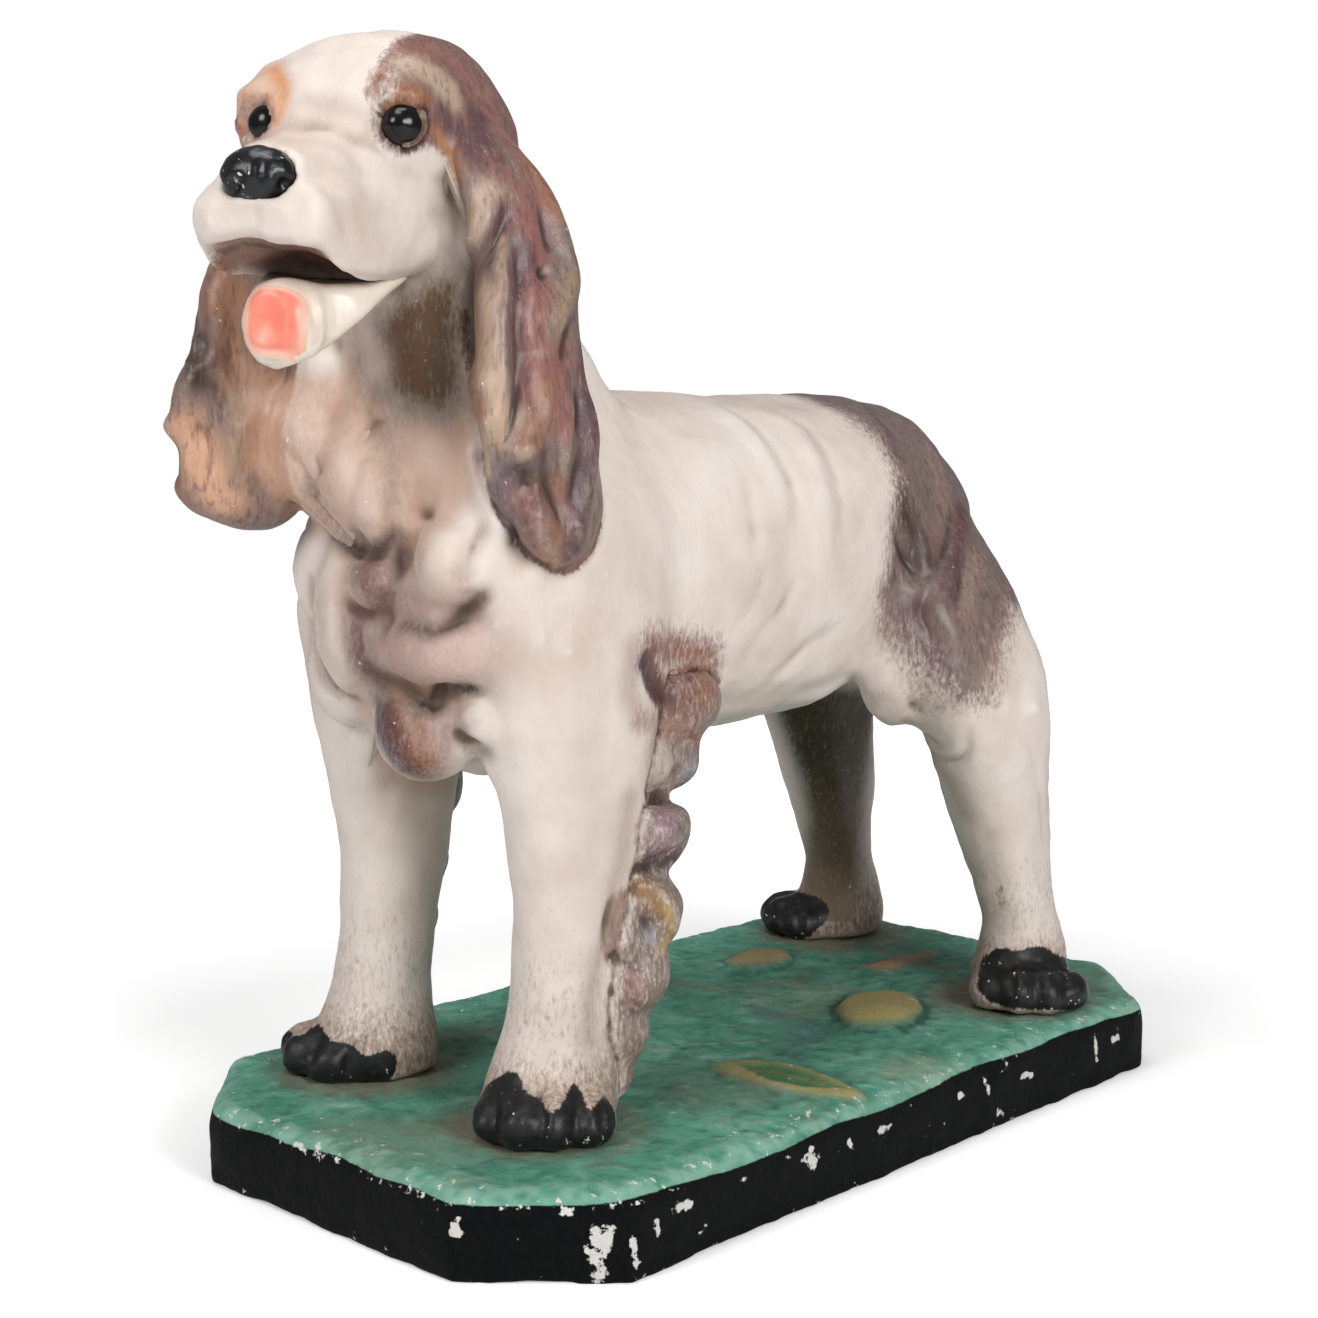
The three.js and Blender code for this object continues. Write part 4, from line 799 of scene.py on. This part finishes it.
dog.brush_lines("glaze", FACE_GLAZES)
for rim in rims:
    dog.brush("cover", rim, 3.2, 0.9, "#4A3026")
dog.fill("glaze", roof - 0.3, 0.25, 1.0, 1.0, "#8E6A5E")
LIP_EDGE = [222,252, 250,244, 290,254, 330,272]
dog.brush("glaze", dog.trace(LIP_EDGE), 2.6, 0.8, "#5E4A42")

# Paws: black toes with a ragged edge, brown wash above them. Middles and reach in millimetres
PAWS = [(60, -188), (-85, -186), (101, 192), (-90, 246)]
PAW_REACH, TOES_AHEAD, PRINT_AHEAD = 75, 20, 12
TOES = [
    [
        466,1128, 468,1108, 480,1090, 500,1076, 516,1072, 526,1092, 540,1098, 549,1112, 560,1106, 572,1084,
        580,1090, 590,1110, 604,1096, 616,1112, 612,1142, 586,1158, 540,1160, 490,1148,
    ],
    [
        256,1066, 266,1046, 285,1030, 300,1036, 318,1024, 331,1040, 350,1044, 366,1056, 386,1050, 398,1064,
        380,1090, 330,1098, 290,1092, 258,1080,
    ],
    [
        978,978, 982,960, 998,948, 1016,951, 1040,946, 1054,953, 1075,962, 1092,976, 1090,1008, 1040,1010,
        1000,1006, 978,990,
    ],
    [736,914, 750,893, 775,884, 800,892, 822,900, 828,918, 800,942, 770,942, 738,930],
]
for outline in TOES:
    rounded = smooth_line([*outline, *outline[:2]], 3)[:-1]
    dog.fill("black", depth_inside(flat, rounded), 7, 1.0, seen * (z < 110))
for centre_x, centre_y in PAWS:
    near = ((x - centre_x) ** 2 + (y - centre_y) ** 2 < PAW_REACH**2) * (z < 130)
    dog.fill("black", 14 + TURF / MM - (y - centre_y + TOES_AHEAD) * 0.3 - z, 6, 1.0, near * (1 - seen))
    dog.fill("cover", 44 + TURF / MM - z, 26, 0.6, near * (1 - dog.values["cover"]), "#8E7460")
dog.fill("cover", 100 + TURF / MM - z, 50, 0.3, 1 - dog.values["cover"], "#A08A74")
dog.finish()

# Mouth, nose and eyes
jaw = Clay("lower_jaw", ["lower_jaw", "tongue"], grain=1.2 * MM, soften=10)
jaw.fair(40, np.ones(len(jaw.points)))
jaw.roughen(14, 0.5)
# Rim of the cup at the front of the jaw, and the hollow behind it
CUP_RIM = [310,290, 319,306, 320,334, 312,356]
CUP_HOLLOW = [334,294, 338,314, 332,338]
jaw.press(jaw.trace(CUP_RIM), 3.5, 2.4)
jaw.press(jaw.trace(CUP_HOLLOW), 6, -3.0)
tongue = Clay("tongue", ["tongue"], grain=1.0 * MM, soften=14)
middle = tongue.points.mean(0)
tongue_way = np.array(HEAD.to_3x3() @ Vector((0.1, -0.9, 0.4)).normalized())
across = np.array(HEAD)[:3, 0]
down = np.cross(tongue_way, across)


def square_reach(clay):
    """How far points are from the tongue's middle, in mm, so that equal reach is a rounded square."""
    gap = (clay.points - middle) / MM
    return ((gap @ across - 2.5) ** 4 + (gap @ down) ** 4) ** 0.25


jaw.settle()
sunk = 0.7 - 2.6 * ease(square_reach(tongue), 14.5, 17.5)
for point in np.nonzero(tongue.normals @ tongue_way > 0.2)[0]:
    spot = jaw.tree.ray_cast(Vector(tongue.points[point] + tongue_way * 0.03), Vector(-tongue_way))[0]
    if spot is not None:
        tongue.points[point] = np.array(spot) + tongue_way * sunk[point] * MM
tongue.fill("glaze", square_reach(tongue) - 12.5, 2.5, 1.0, 1.0, "#F0BBA2")
tongue.fill("glaze", square_reach(tongue) - 15.5, 2.0, 1.0, 1.0, "#E6D9CB")
tongue.finish()
jaw.fill("glaze", 18 - square_reach(jaw), 4, 0.8, ease(jaw.normals @ tongue_way, 0.3, 0.7), "#EBCDB8")
jaw.finish()
nose = Clay("nose", ["nose"], grain=1.1 * MM, soften=4)
nose.fair(16, np.ones(len(nose.points)))
NOSTRILS = ([238,180, 232,188, 238,195], [280,178, 286,186, 278,193])
NOSE_GROOVE = [259,160, 257,180, 256,198]
for pixels in NOSTRILS:
    nose.press(nose.trace(pixels), 3.4, -4.0)
nose.press(nose.trace(NOSE_GROOVE), 2.2, -1.2)
nose.roughen(6, 0.4)
nose.finish()

# Each eye is a ball whose front bulges a little
CORNEA_EDGE, CORNEA_BULGE = 0.86, 0.07
eyeballs = {}
for name, centre in EYES.items():
    shape = bmesh.new()
    bmesh.ops.create_icosphere(shape, subdivisions=5, radius=EYE_RADIUS * MM)
    out = Vector((math.copysign(GAZE_SIDE, centre.x), GAZE_FRONT, 0))
    for vert in shape.verts:
        bulge = max(0.0, vert.co.normalized().dot(out) - CORNEA_EDGE) / (1 - CORNEA_EDGE)
        vert.co *= 1 + CORNEA_BULGE * bulge
    bmesh.ops.transform(shape, matrix=Matrix.Translation(HEAD @ (centre * MM)), verts=shape.verts)
    for face in shape.faces:
        face.smooth = True
    eyeballs[name] = new_piece(name, shape)

# Plinth: a black block with a turf top that rolls over its edge
# Half its sides, and the wavy level at which the black ends, in millimetres
HALF_WIDTH, HALF_LENGTH = 164, 298
BLACK_EDGE, BLACK_WAVE, WAVE_LENGTH = 39.5, 3.5, 45
plinth = Clay("plinth", ["plinth"], grain=2.6 * MM, soften=6)
plinth.fair(70, ease(plinth.points[:, 2] / MM, 4, 14))
plinth.roughen(60, 1.6)
plinth.roughen(16, 0.8)
plinth.settle()
flat = on_picture(plinth.points)
x, y, z = (plinth.points / MM).T
top = ease(plinth.normals[:, 2], 0.3, 0.8) * (z > 30)
plinth.roughen(7, 0.7, top)
plinth.settle()
wave = np.array([noise.noise(Vector(point) / (WAVE_LENGTH * MM)) for point in plinth.points])
plinth.fill("black", BLACK_EDGE + BLACK_WAVE * wave - z, 2)
# Stones and the rim of a leaf: tone, height in millimetres, and the outline on the picture
TURF_RELIEFS = [
    ("#A99D66", 6, 836,1012, 850,1000, 878,995, 908,998, 921,1010, 912,1022, 880,1028, 850,1026),
    ("#A39A62", 3, 712,1066, 750,1062, 800,1068, 846,1086, 866,1100, 820,1098, 760,1086, 724,1076),
    ("#A08E62", 4, 726,962, 746,952, 780,951, 790,960, 764,967, 736,968),
    ("#A98466", 3, 858,968, 890,960, 934,952, 926,962, 890,972),
]
for code, height, *outline in TURF_RELIEFS:
    depth = depth_inside(flat, smooth_line([*outline, *outline[:2]], 4)[:-1])
    plinth.fill("cover", depth, 6, 0.9, top, code)
    plinth.points += plinth.normals * (ease(depth, -4, 6) * top * height * MM)[:, None]
LEAF_OUTLINE = [738,1068, 772,1066, 812,1076, 846,1092, 806,1090, 766,1082]
leaf = depth_inside(flat, LEAF_OUTLINE)
plinth.points -= plinth.normals * (ease(leaf, -2, 3) * top * 3.5 * MM)[:, None]
plinth.fill("cover", leaf, 3, 0.9, top, "#4A7A52")
plinth.settle()
# Stalks and streaks: tone, width and height in millimetres, amount, and the line on the picture
TURF_STREAKS = [
    ("#8F874C", 2, 1.5, 0.8, 744,1072, 780,1074, 830,1088),
    ("#9C8A4C", 2.2, 1.6, 0.8, 637,1052, 690,1046, 740,1044, 778,1039),
    ("#8A7A48", 3, 1.4, 0.6, 690,1010, 730,1000, 780,1004),
    ("#7C6C50", 10, 1.5, 0.6, 1010,930, 1050,940, 1090,960),
    ("#7C6C50", 9, 1.2, 0.6, 866,940, 900,960, 950,970),
    ("#7C7050", 9, 1.2, 0.5, 660,980, 720,990, 800,980),
    ("#6E7A50", 12, 1.0, 0.5, 430,1050, 460,1040, 490,1030),
    ("#6E6A50", 10, 1.0, 0.5, 620,1110, 640,1130, 600,1165),
    ("#2E6E78", 16, 0, 0.5, 760,1010, 810,1030, 790,1046),
    ("#6AA892", 16, 0, 0.6, 340,1120, 400,1140, 460,1160),
]
for code, width, height, amount, *pixels in TURF_STREAKS:
    line = plinth.trace(pixels)
    plinth.press(line, width, height)
    plinth.brush("cover", line, width, amount, code)
for centre_x, centre_y in PAWS:
    far = np.hypot(x - centre_x, y - centre_y + PRINT_AHEAD)
    plinth.fill("cover", 56 - far, 22, 0.62, top * (1 - plinth.values["cover"]), "#94846E")
# Places where the paint has come off down to the white ground: width in millimetres, and the line
CHIPS = [
    (3.4, 455,1220, 456,1232), (4.0, 597,1232, 598,1262, 600,1276), (3.4, 606,1228, 606,1250),
    (3.0, 588,1250, 604,1256), (2.6, 634,1240, 636,1264), (2.4, 657,1222, 658,1232),
    (2.6, 672,1210, 690,1204), (2.2, 560,1212, 572,1212), (2.8, 804,1160, 818,1156),
    (2.6, 812,1150, 812,1168), (2.2, 880,1130, 892,1126), (2.6, 985,1080, 989,1092),
    (2.4, 998,1112, 1004,1114), (2.2, 1022,1076, 1032,1074), (1.8, 1095,1036, 1097,1060),
    (2.4, 1112,1040, 1118,1038), (2.2, 960,1096, 966,1094), (2.2, 740,1180, 748,1178),
    (2.0, 850,1142, 852,1150), (2.0, 318,1146, 322,1150), (2.2, 700,1232, 706,1226),
]
for width, *pixels in CHIPS:
    plinth.brush("bare", plinth.trace(pixels), 1.6 * width, 0.64)
lip = np.exp(-(((z - 39) / 5) ** 2)) * ease(-y - 0.6 * np.abs(x), -60, 150)
inset = np.minimum(HALF_WIDTH - np.abs(x), HALF_LENGTH - np.abs(y))
strewn = (0.23 + 0.12 * (1 - ease(inset, 5, 50))) * top
plinth.values["bare"] = np.max([plinth.values["bare"], 0.42 * lip, strewn], axis=0)
plinth.finish()


# Materials
SOFT = {"interpolation_type": "SMOOTHSTEP"}
COLOUR = {"data_type": "RGBA"}


def add_node(tree, kind, inputs=None, out=None, stops=(), **settings):
    """Adds a node with its settings, its inputs as values or links, and a ramp's stops. Gives its output."""
    node = tree.nodes.new("ShaderNode" + kind)
    for name, value in settings.items():
        setattr(node, name, value)
    for key, value in (inputs or {}).items():
        if isinstance(value, bpy.types.NodeSocket):
            tree.links.new(value, node.inputs[key])
        else:
            node.inputs[key].default_value = value
    for number, (place, code) in enumerate(stops):
        elements = node.color_ramp.elements
        element = elements[number] if number < 2 else elements.new(place)
        element.position = place
        element.color = srgb(code)
    return node.outputs[out] if out else next(socket for socket in node.outputs if socket.enabled)


def start(name, shader):
    """A new material: what adds nodes to it, its shader with its settings, and the Object coordinates."""
    material = bpy.data.materials.new(name)
    material.use_nodes = True
    body = material.node_tree.nodes["Principled BSDF"]
    for key, value in shader.items():
        body.inputs[key].default_value = value
    add = partial(add_node, material.node_tree)
    return material, add, body, add("TexCoord", out="Object")


def feed(shader, links):
    """Links outputs to the inputs of a shader."""
    for key, value in links.items():
        shader.id_data.links.new(value, shader.inputs[key])


def worn_paint(add, paint, grain, reach, hard):
    """Coverage of a paint with a worn or dry-brushed edge: grain eats into the stored value."""
    value = add("Attribute", out="Fac", attribute_name=paint)
    shift = add("Math", {0: grain, 1: reach, 2: value}, operation="MULTIPLY_ADD")
    middle = 0.5 + reach / 2
    return add("MapRange", {"Value": shift, "From Min": middle - hard, "From Max": middle + hard}, **SOFT)


def layered(add, colour, layers):
    """A colour with others laid over it, each where a value runs from one level to another, up to a share."""
    for value, begins, full, most, code in layers:
        levels = {"Value": value, "From Min": begins, "From Max": full, "To Max": most}
        share = add("MapRange", levels, **SOFT)
        colour = add("Mix", {0: share, 6: colour, 7: srgb(code)}, **COLOUR)
    return colour


def coat_paint():
    """Old oil paint brushed on cast resin: chalky cream, grime and painted shade in the hollows, brown paint
    with worn tops.
    """
    material, add, body, where = start("oil_painted_cast_resin", {"Specular IOR Level": 0.4})
    relief, hollow, glaze = [
        add("Attribute", out="Fac", attribute_name=stored) for stored in ("relief", "hollow", "glaze")
    ]
    tone = add("Attribute", out="Color", attribute_name="tone")
    wide, fine, specks = [
        add("TexNoise", {"Vector": where, "Scale": 1 / (size * MM), "Detail": detail, **look}, out="Fac")
        for size, detail, look in [(70, 5, {}), (3.5, 5, {"Roughness": 0.7}), (5, 4, {"Roughness": 0.6})]
    ]
    streak = add("Mapping", {"Vector": where, "Scale": [1 / (size * MM) for size in (3, 3, 13)]})
    streak = {"Vector": streak, "Scale": 1, "Detail": 6, "Roughness": 0.65, "Distortion": 0.5}
    streak = add("TexNoise", streak, out="Fac")
    bristle = add("Mapping", {"Vector": where, "Scale": [1 / (size * MM) for size in (2.2, 2.2, 6)]})
    bristle = add("TexNoise", {"Vector": bristle, "Scale": 1, "Detail": 5, "Roughness": 0.75}, out="Fac")
    bristle = add("MapRange", {"Value": bristle, "From Min": 0.25, "From Max": 0.75})
    # cream with stains, grime and painted shade in the hollows and crevices, and rubbed tops lightened,
    # partly as a painted highlight
    cream = add("ValToRGB", {"Fac": wide}, stops=[(0.3, "#C9B8AC"), (0.7, "#E2D8D0"), (0.5, "#D9CCC3")])
    grain_relief = add("Math", {0: fine, 1: -1.4, 2: relief}, operation="MULTIPLY_ADD")
    cream = layered(add, cream, [
        (streak, 0.5, 0.9, 0.5, "#C9B7A8"),
        (hollow, -0.1, -3.0, 0.75, "#9A8874"),
        (grain_relief, -1.15, -2.2, 0.8, "#7A6858"),
        (relief, 0.2, 1.4, 0.5, "#EAE2DC"),
    ])
    # brown paint in its tone, streaked dark and light, with painted shade in the grooves, and worn on the
    # tops
    grain_relief = add("Math", {0: fine, 1: 2.0, 2: relief}, operation="MULTIPLY_ADD")
    brown = layered(add, tone, [
        (streak, 0.54, 0.3, 0.55, "#3C2C2C"),
        (streak, 0.54, 0.78, 0.6, "#B39A80"),
        (relief, -0.15, -1.5, 0.85, "#302322"),
        (grain_relief, 1.7, 2.8, 0.6, "#A8988A"),
    ])
    cover = worn_paint(add, "cover", bristle, 0.75, 0.34)
    colour = add("Mix", {0: cover, 6: cream, 7: brown}, **COLOUR)
    # thin glazes, grainy from the brush, and painted shade in the crevices
    thin = add("MapRange", {"Value": bristle, "To Min": 0.7, "To Max": 1.15})
    glaze = add("Math", {0: glaze, 1: thin}, operation="MULTIPLY", use_clamp=True)
    colour = add("Mix", {0: glaze, 6: colour, 7: tone}, **COLOUR)
    colour = layered(add, colour, [(relief, -0.45, -1.9, 0.75, "#48362C")])
    # black toes, and specks where all paint is gone
    toes = worn_paint(add, "black", bristle, 0.5, 0.12)
    black = add("ValToRGB", {"Fac": fine}, stops=[(0.4, "#0E0F10"), (0.75, "#242222")])
    colour = add("Mix", {0: toes, 6: colour, 7: black}, **COLOUR)
    for value, weight in ((relief, 0.03), (toes, 0.04)):
        specks = add("Math", {0: value, 1: weight, 2: specks}, operation="MULTIPLY_ADD")
    specks = add("MapRange", {"Value": specks, "From Min": 0.715, "From Max": 0.735, "To Max": 0.85})
    colour = add("Mix", {0: specks, 6: colour, 7: srgb("#E4DCD2")}, **COLOUR)
    gloss = add("Mix", {0: cover, 2: 0.5, 3: 0.34})
    height = add("Math", {0: streak, 1: fine}, operation="ADD")
    bump = add("Bump", {"Height": height, "Distance": 0.6 * MM, "Strength": 0.45})
    feed(body, {"Base Color": colour, "Roughness": gloss, "Normal": bump})
    return material


def black_paint():
    """Black gloss enamel on resin: deep black with soft gleams, chipped to the pale ground in specks."""
    gloss = {"Roughness": 0.3, "Specular IOR Level": 0.45}
    material, add, body, where = start("black_enamel_on_resin", gloss)
    wide, fine = [
        add("TexNoise", {"Vector": where, "Scale": 1 / (size * MM), "Detail": 4}, out="Fac")
        for size in (12, 4)
    ]
    colour = add("ValToRGB", {"Fac": wide}, stops=[(0.35, "#08090A"), (0.7, "#15181C")])
    chips = add("MapRange", {"Value": fine, "From Min": 0.66, "From Max": 0.68})
    colour = add("Mix", {0: chips, 6: colour, 7: srgb("#D9CFC2")}, **COLOUR)
    bump = add("Bump", {"Height": fine, "Distance": 0.6 * MM, "Strength": 0.6})
    feed(body, {"Base Color": colour, "Normal": bump})
    return material


def eye_paint():
    """Black enamel under clear varnish: near black, a little mottled, with a wet gloss."""
    material, add, body, where = start("varnished_eye_enamel", {"Roughness": 0.2, "Specular IOR Level": 0.35})
    mottle = add("TexNoise", {"Vector": where, "Scale": 1 / (6 * MM), "Detail": 4}, out="Fac")
    feed(body, {"Base Color": add("ValToRGB", {"Fac": mottle}, stops=[(0.4, "#050608"), (0.7, "#171517")])})
    return material


def mouth_paint(name, codes):
    """Satin oil paint in the mouth, thin and a little streaked, paler where it thins out, with painted shade
    in the hollows.
    """
    material, add, body, where = start(name, {"Roughness": 0.36})
    mottle, fine = [
        add("TexNoise", {"Vector": where, "Scale": 1 / (size * MM), "Detail": detail}, out="Fac")
        for size, detail in ((15, 5), (2, 4))
    ]
    hollow, glaze = [add("Attribute", out="Fac", attribute_name=stored) for stored in ("hollow", "glaze")]
    tone = add("Attribute", out="Color", attribute_name="tone")
    colour = add("ValToRGB", {"Fac": mottle}, stops=[(0.35, codes[0]), (0.65, codes[1])])
    # the third colour darkens the hollows as painted shade
    colour = layered(add, colour, [(hollow, -0.5, -3.0, 1.0, codes[2])])
    colour = add("Mix", {0: glaze, 6: colour, 7: tone}, **COLOUR)
    bump = add("Bump", {"Height": fine, "Distance": 0.4 * MM, "Strength": 0.4})
    feed(body, {"Base Color": colour, "Normal": bump})
    return material


def turf_paint():
    """Green oil paint on turf, black on the sides, both chipped to the white ground, dirt round the feet,
    painted shade in the pits and painted highlights on the bumps.
    """
    material, add, body, where = start("oil_painted_turf", {})
    relief = add("Attribute", out="Fac", attribute_name="relief")
    tone = add("Attribute", out="Color", attribute_name="tone")
    wide, smear, fine, flakes = [
        add("TexNoise", {"Vector": where, "Scale": 1 / (size * MM), **look}, out="Fac")
        for size, look in [
            (80, {"Detail": 6}),
            (30, {"Detail": 9, "Roughness": 0.72, "Distortion": 0.6}),
            (4, {"Detail": 6, "Roughness": 0.75}),
            (7, {"Detail": 7, "Roughness": 0.66}),
        ]
    ]
    greens = [(0.28, "#366A5E"), (0.74, "#9CC6B0"), (0.42, "#498C76"), (0.56, "#63A78E")]
    colour = layered(add, add("ValToRGB", {"Fac": smear}, stops=greens), [
        (wide, 0.52, 0.7, 0.4, "#8C866C"),
        (fine, 0.55, 0.85, 0.5, "#7DB39B"),
        # painted shade in the pits and a painted highlight on the bumps
        (relief, 0.0, -0.9, 0.8, "#275046"),
        (relief, 0.1, 0.8, 0.5, "#A4CBB8"),
    ])
    cover = worn_paint(add, "cover", fine, 0.9, 0.4)
    colour = add("Mix", {0: cover, 6: colour, 7: tone}, **COLOUR)
    black = worn_paint(add, "black", fine, 0.6, 0.12)
    pitch = add("ValToRGB", {"Fac": fine}, stops=[(0.35, "#040506"), (0.75, "#0E1012")])
    colour = add("Mix", {0: black, 6: colour, 7: pitch}, **COLOUR)
    bare = worn_paint(add, "bare", flakes, 1.3, 0.03)
    specks = add("Math", {0: relief, 1: 0.06, 2: flakes}, operation="MULTIPLY_ADD")
    specks = add("MapRange", {"Value": specks, "From Min": 0.7, "From Max": 0.71})
    bare = add("Math", {0: bare, 1: specks}, operation="MAXIMUM")
    colour = add("Mix", {0: bare, 6: colour, 7: srgb("#E4E1DB")}, **COLOUR)
    height = add("Math", {0: smear, 1: 1.5, 2: fine}, operation="MULTIPLY_ADD")
    feed(body, {
        "Base Color": colour,
        "Roughness": add("Mix", {0: black, 2: 0.42, 3: 0.6}),
        "Specular IOR Level": add("Mix", {0: black, 2: 0.3, 3: 0.1}),
        "Normal": add("Bump", {"Height": height, "Distance": 2 * MM, "Strength": 1.0}),
    })
    return material


def plain(name, first, second, size, shader):
    """Steel or board inside the statue: a mottled plain surface."""
    material, add, body, where = start(name, shader)
    mottle = add("TexNoise", {"Vector": where, "Scale": 1 / (size * MM), "Detail": 5}, out="Fac")
    colour = add("ValToRGB", {"Fac": mottle}, stops=[(0.3, first), (0.7, second)])
    bump = add("Bump", {"Height": mottle, "Distance": 0.4 * MM, "Strength": 0.4})
    feed(body, {"Base Color": colour, "Normal": bump})
    return material


coat = coat_paint()
black_gloss = black_paint()
eye_gloss = eye_paint()
# the third colour of each is the painted shade in the hollows
coral = mouth_paint("coral_oil_paint", ("#EE7C66", "#F2957F", "#D4644F"))
jaw_paint = mouth_paint("ivory_oil_paint", ("#DDCFBE", "#E8DED2", "#9A8874"))
turf = turf_paint()
steel = plain("zinc_plated_steel", "#8D8F90", "#A9ABAC", 10, {"Metallic": 1.0, "Roughness": 0.4})
board = plain("hardboard", "#7A5C40", "#8C6B4C", 4, {"Roughness": 0.8})


def hand_in(piece, material, slot, *replaced):
    """Gives a piece its material and body, and says which castings it stands for. The slot is not used."""
    piece.data.materials.clear()
    piece.data.materials.append(material)
    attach(piece, "root")
    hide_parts(*replaced)


# The skin is cut at its joints
face_owner = np.maximum.reduceat(owner[dog.corners], dog.starts)
corner_counts = np.diff([*dog.starts, len(dog.corners)])
middles = np.add.reduceat(dog.points[dog.corners], dog.starts) / corner_counts[:, None]
main = face_owner == 0
own_faces = {"head": main & ((middles - np.array(NECK_POINT)) @ np.array(NECK_WAY) > 0)}
for leg in LEGS:
    own_faces[leg] = main & in_box(middles, leg, 5 * MM, axes=2) & (middles[:, 2] < LEG_JOINT)
rest = main & ~np.any([*own_faces.values()], axis=0)
in_front = (middles[:, 1] < RUFF_FRONT) & (middles[:, 2] > LEG_JOINT + 13 * MM)
own_faces["chest_ruff"] = rest & in_front
own_faces["torso"] = rest & ~in_front
for casting, faces in own_faces.items():
    hand_in(dog.cut(casting + "_skin", faces), coat, "cream_paint", casting)
for number, lock in enumerate(LOCKS, 1):
    hand_in(dog.cut(lock + "_skin", face_owner == number), coat, "brown_paint", lock)
bpy.data.objects.remove(dog.piece)
hand_in(jaw.piece, jaw_paint, "tongue_paint", "lower_jaw")
hand_in(tongue.piece, coral, "tongue_paint", "tongue")
hand_in(nose.piece, black_gloss, "black_paint", "nose")
for name, ball in eyeballs.items():
    hand_in(ball, eye_gloss, "eye_gloss", name)
hand_in(plinth.piece, turf, "turf_paint", "plinth")
# The parts inside keep the CAD's own shape
for name, node in nodes.items():
    if name == "base_board" or "screw" in name or name.endswith(("rod", "washer", "nut", "yoke", "bar")):
        node.data.materials.clear()
        node.data.materials.append(board if name == "base_board" else steel)

# Pale floor and soft studio light
FLOOR_RADIUS = 4
shape = bmesh.new()
bmesh.ops.create_circle(shape, cap_ends=True, segments=96, radius=FLOOR_RADIUS)
floor = new_piece("floor", shape)
floor.location.z = -0.5 * MM
# Matt white floor that fades to the white background away from the shadow
material, add, body, where = start("matt_white_floor", {"Roughness": 0.9, "Emission Color": srgb("#FFFFFF")})
mottle = add("TexNoise", {"Vector": where, "Scale": 3}, out="Fac")
colour = add("ValToRGB", {"Fac": mottle}, stops=[(0.3, "#F0F0F0"), (0.7, "#F4F4F4")])
far = add("VectorMath", {0: where}, out="Value", operation="LENGTH")
lift = add("MapRange", {"Value": far, "From Min": 0.4, "From Max": 0.95, "To Min": 0.3, "To Max": 1.0})
camera_ray = add("LightPath", out="Is Camera Ray")
glow = add("Math", {0: lift, 1: camera_ray}, operation="MULTIPLY")
feed(body, {"Base Color": colour, "Emission Strength": glow})
floor.data.materials.append(material)

world = bpy.data.worlds.new("studio")
world.use_nodes = True
scene.world = world
add = partial(add_node, world.node_tree)
backdrop = world.node_tree.nodes["Background"]
backdrop.inputs["Color"].default_value = srgb("#FFFFFF")
camera_ray = add("LightPath", out="Is Camera Ray")
feed(backdrop, {"Strength": add("MapRange", {"Value": camera_ray, "To Min": 0.2, "To Max": 1.0})})

LIGHT_AIM = Vector((0, 0, 0.28))
# Place and size in metres, power in watts
SOFTBOXES = [
    ("overhead_softbox", (0.0, -0.4, 2.1), 1.0, 14),
    ("front_softbox", (-0.1, -1.95, 1.25), 0.8, 18),
    ("side_softbox", (1.85, -0.5, 1.0), 0.8, 25),
]
for name, place, size, power in SOFTBOXES:
    lamp = bpy.data.lights.new(name, "AREA")
    lamp.shape = "DISK"
    lamp.size = size
    lamp.energy = power
    softbox = bpy.data.objects.new(name, lamp)
    softbox.location = place
    softbox.rotation_euler = (LIGHT_AIM - Vector(place)).to_track_quat("-Z", "Y").to_euler()
    scene.collection.objects.link(softbox)
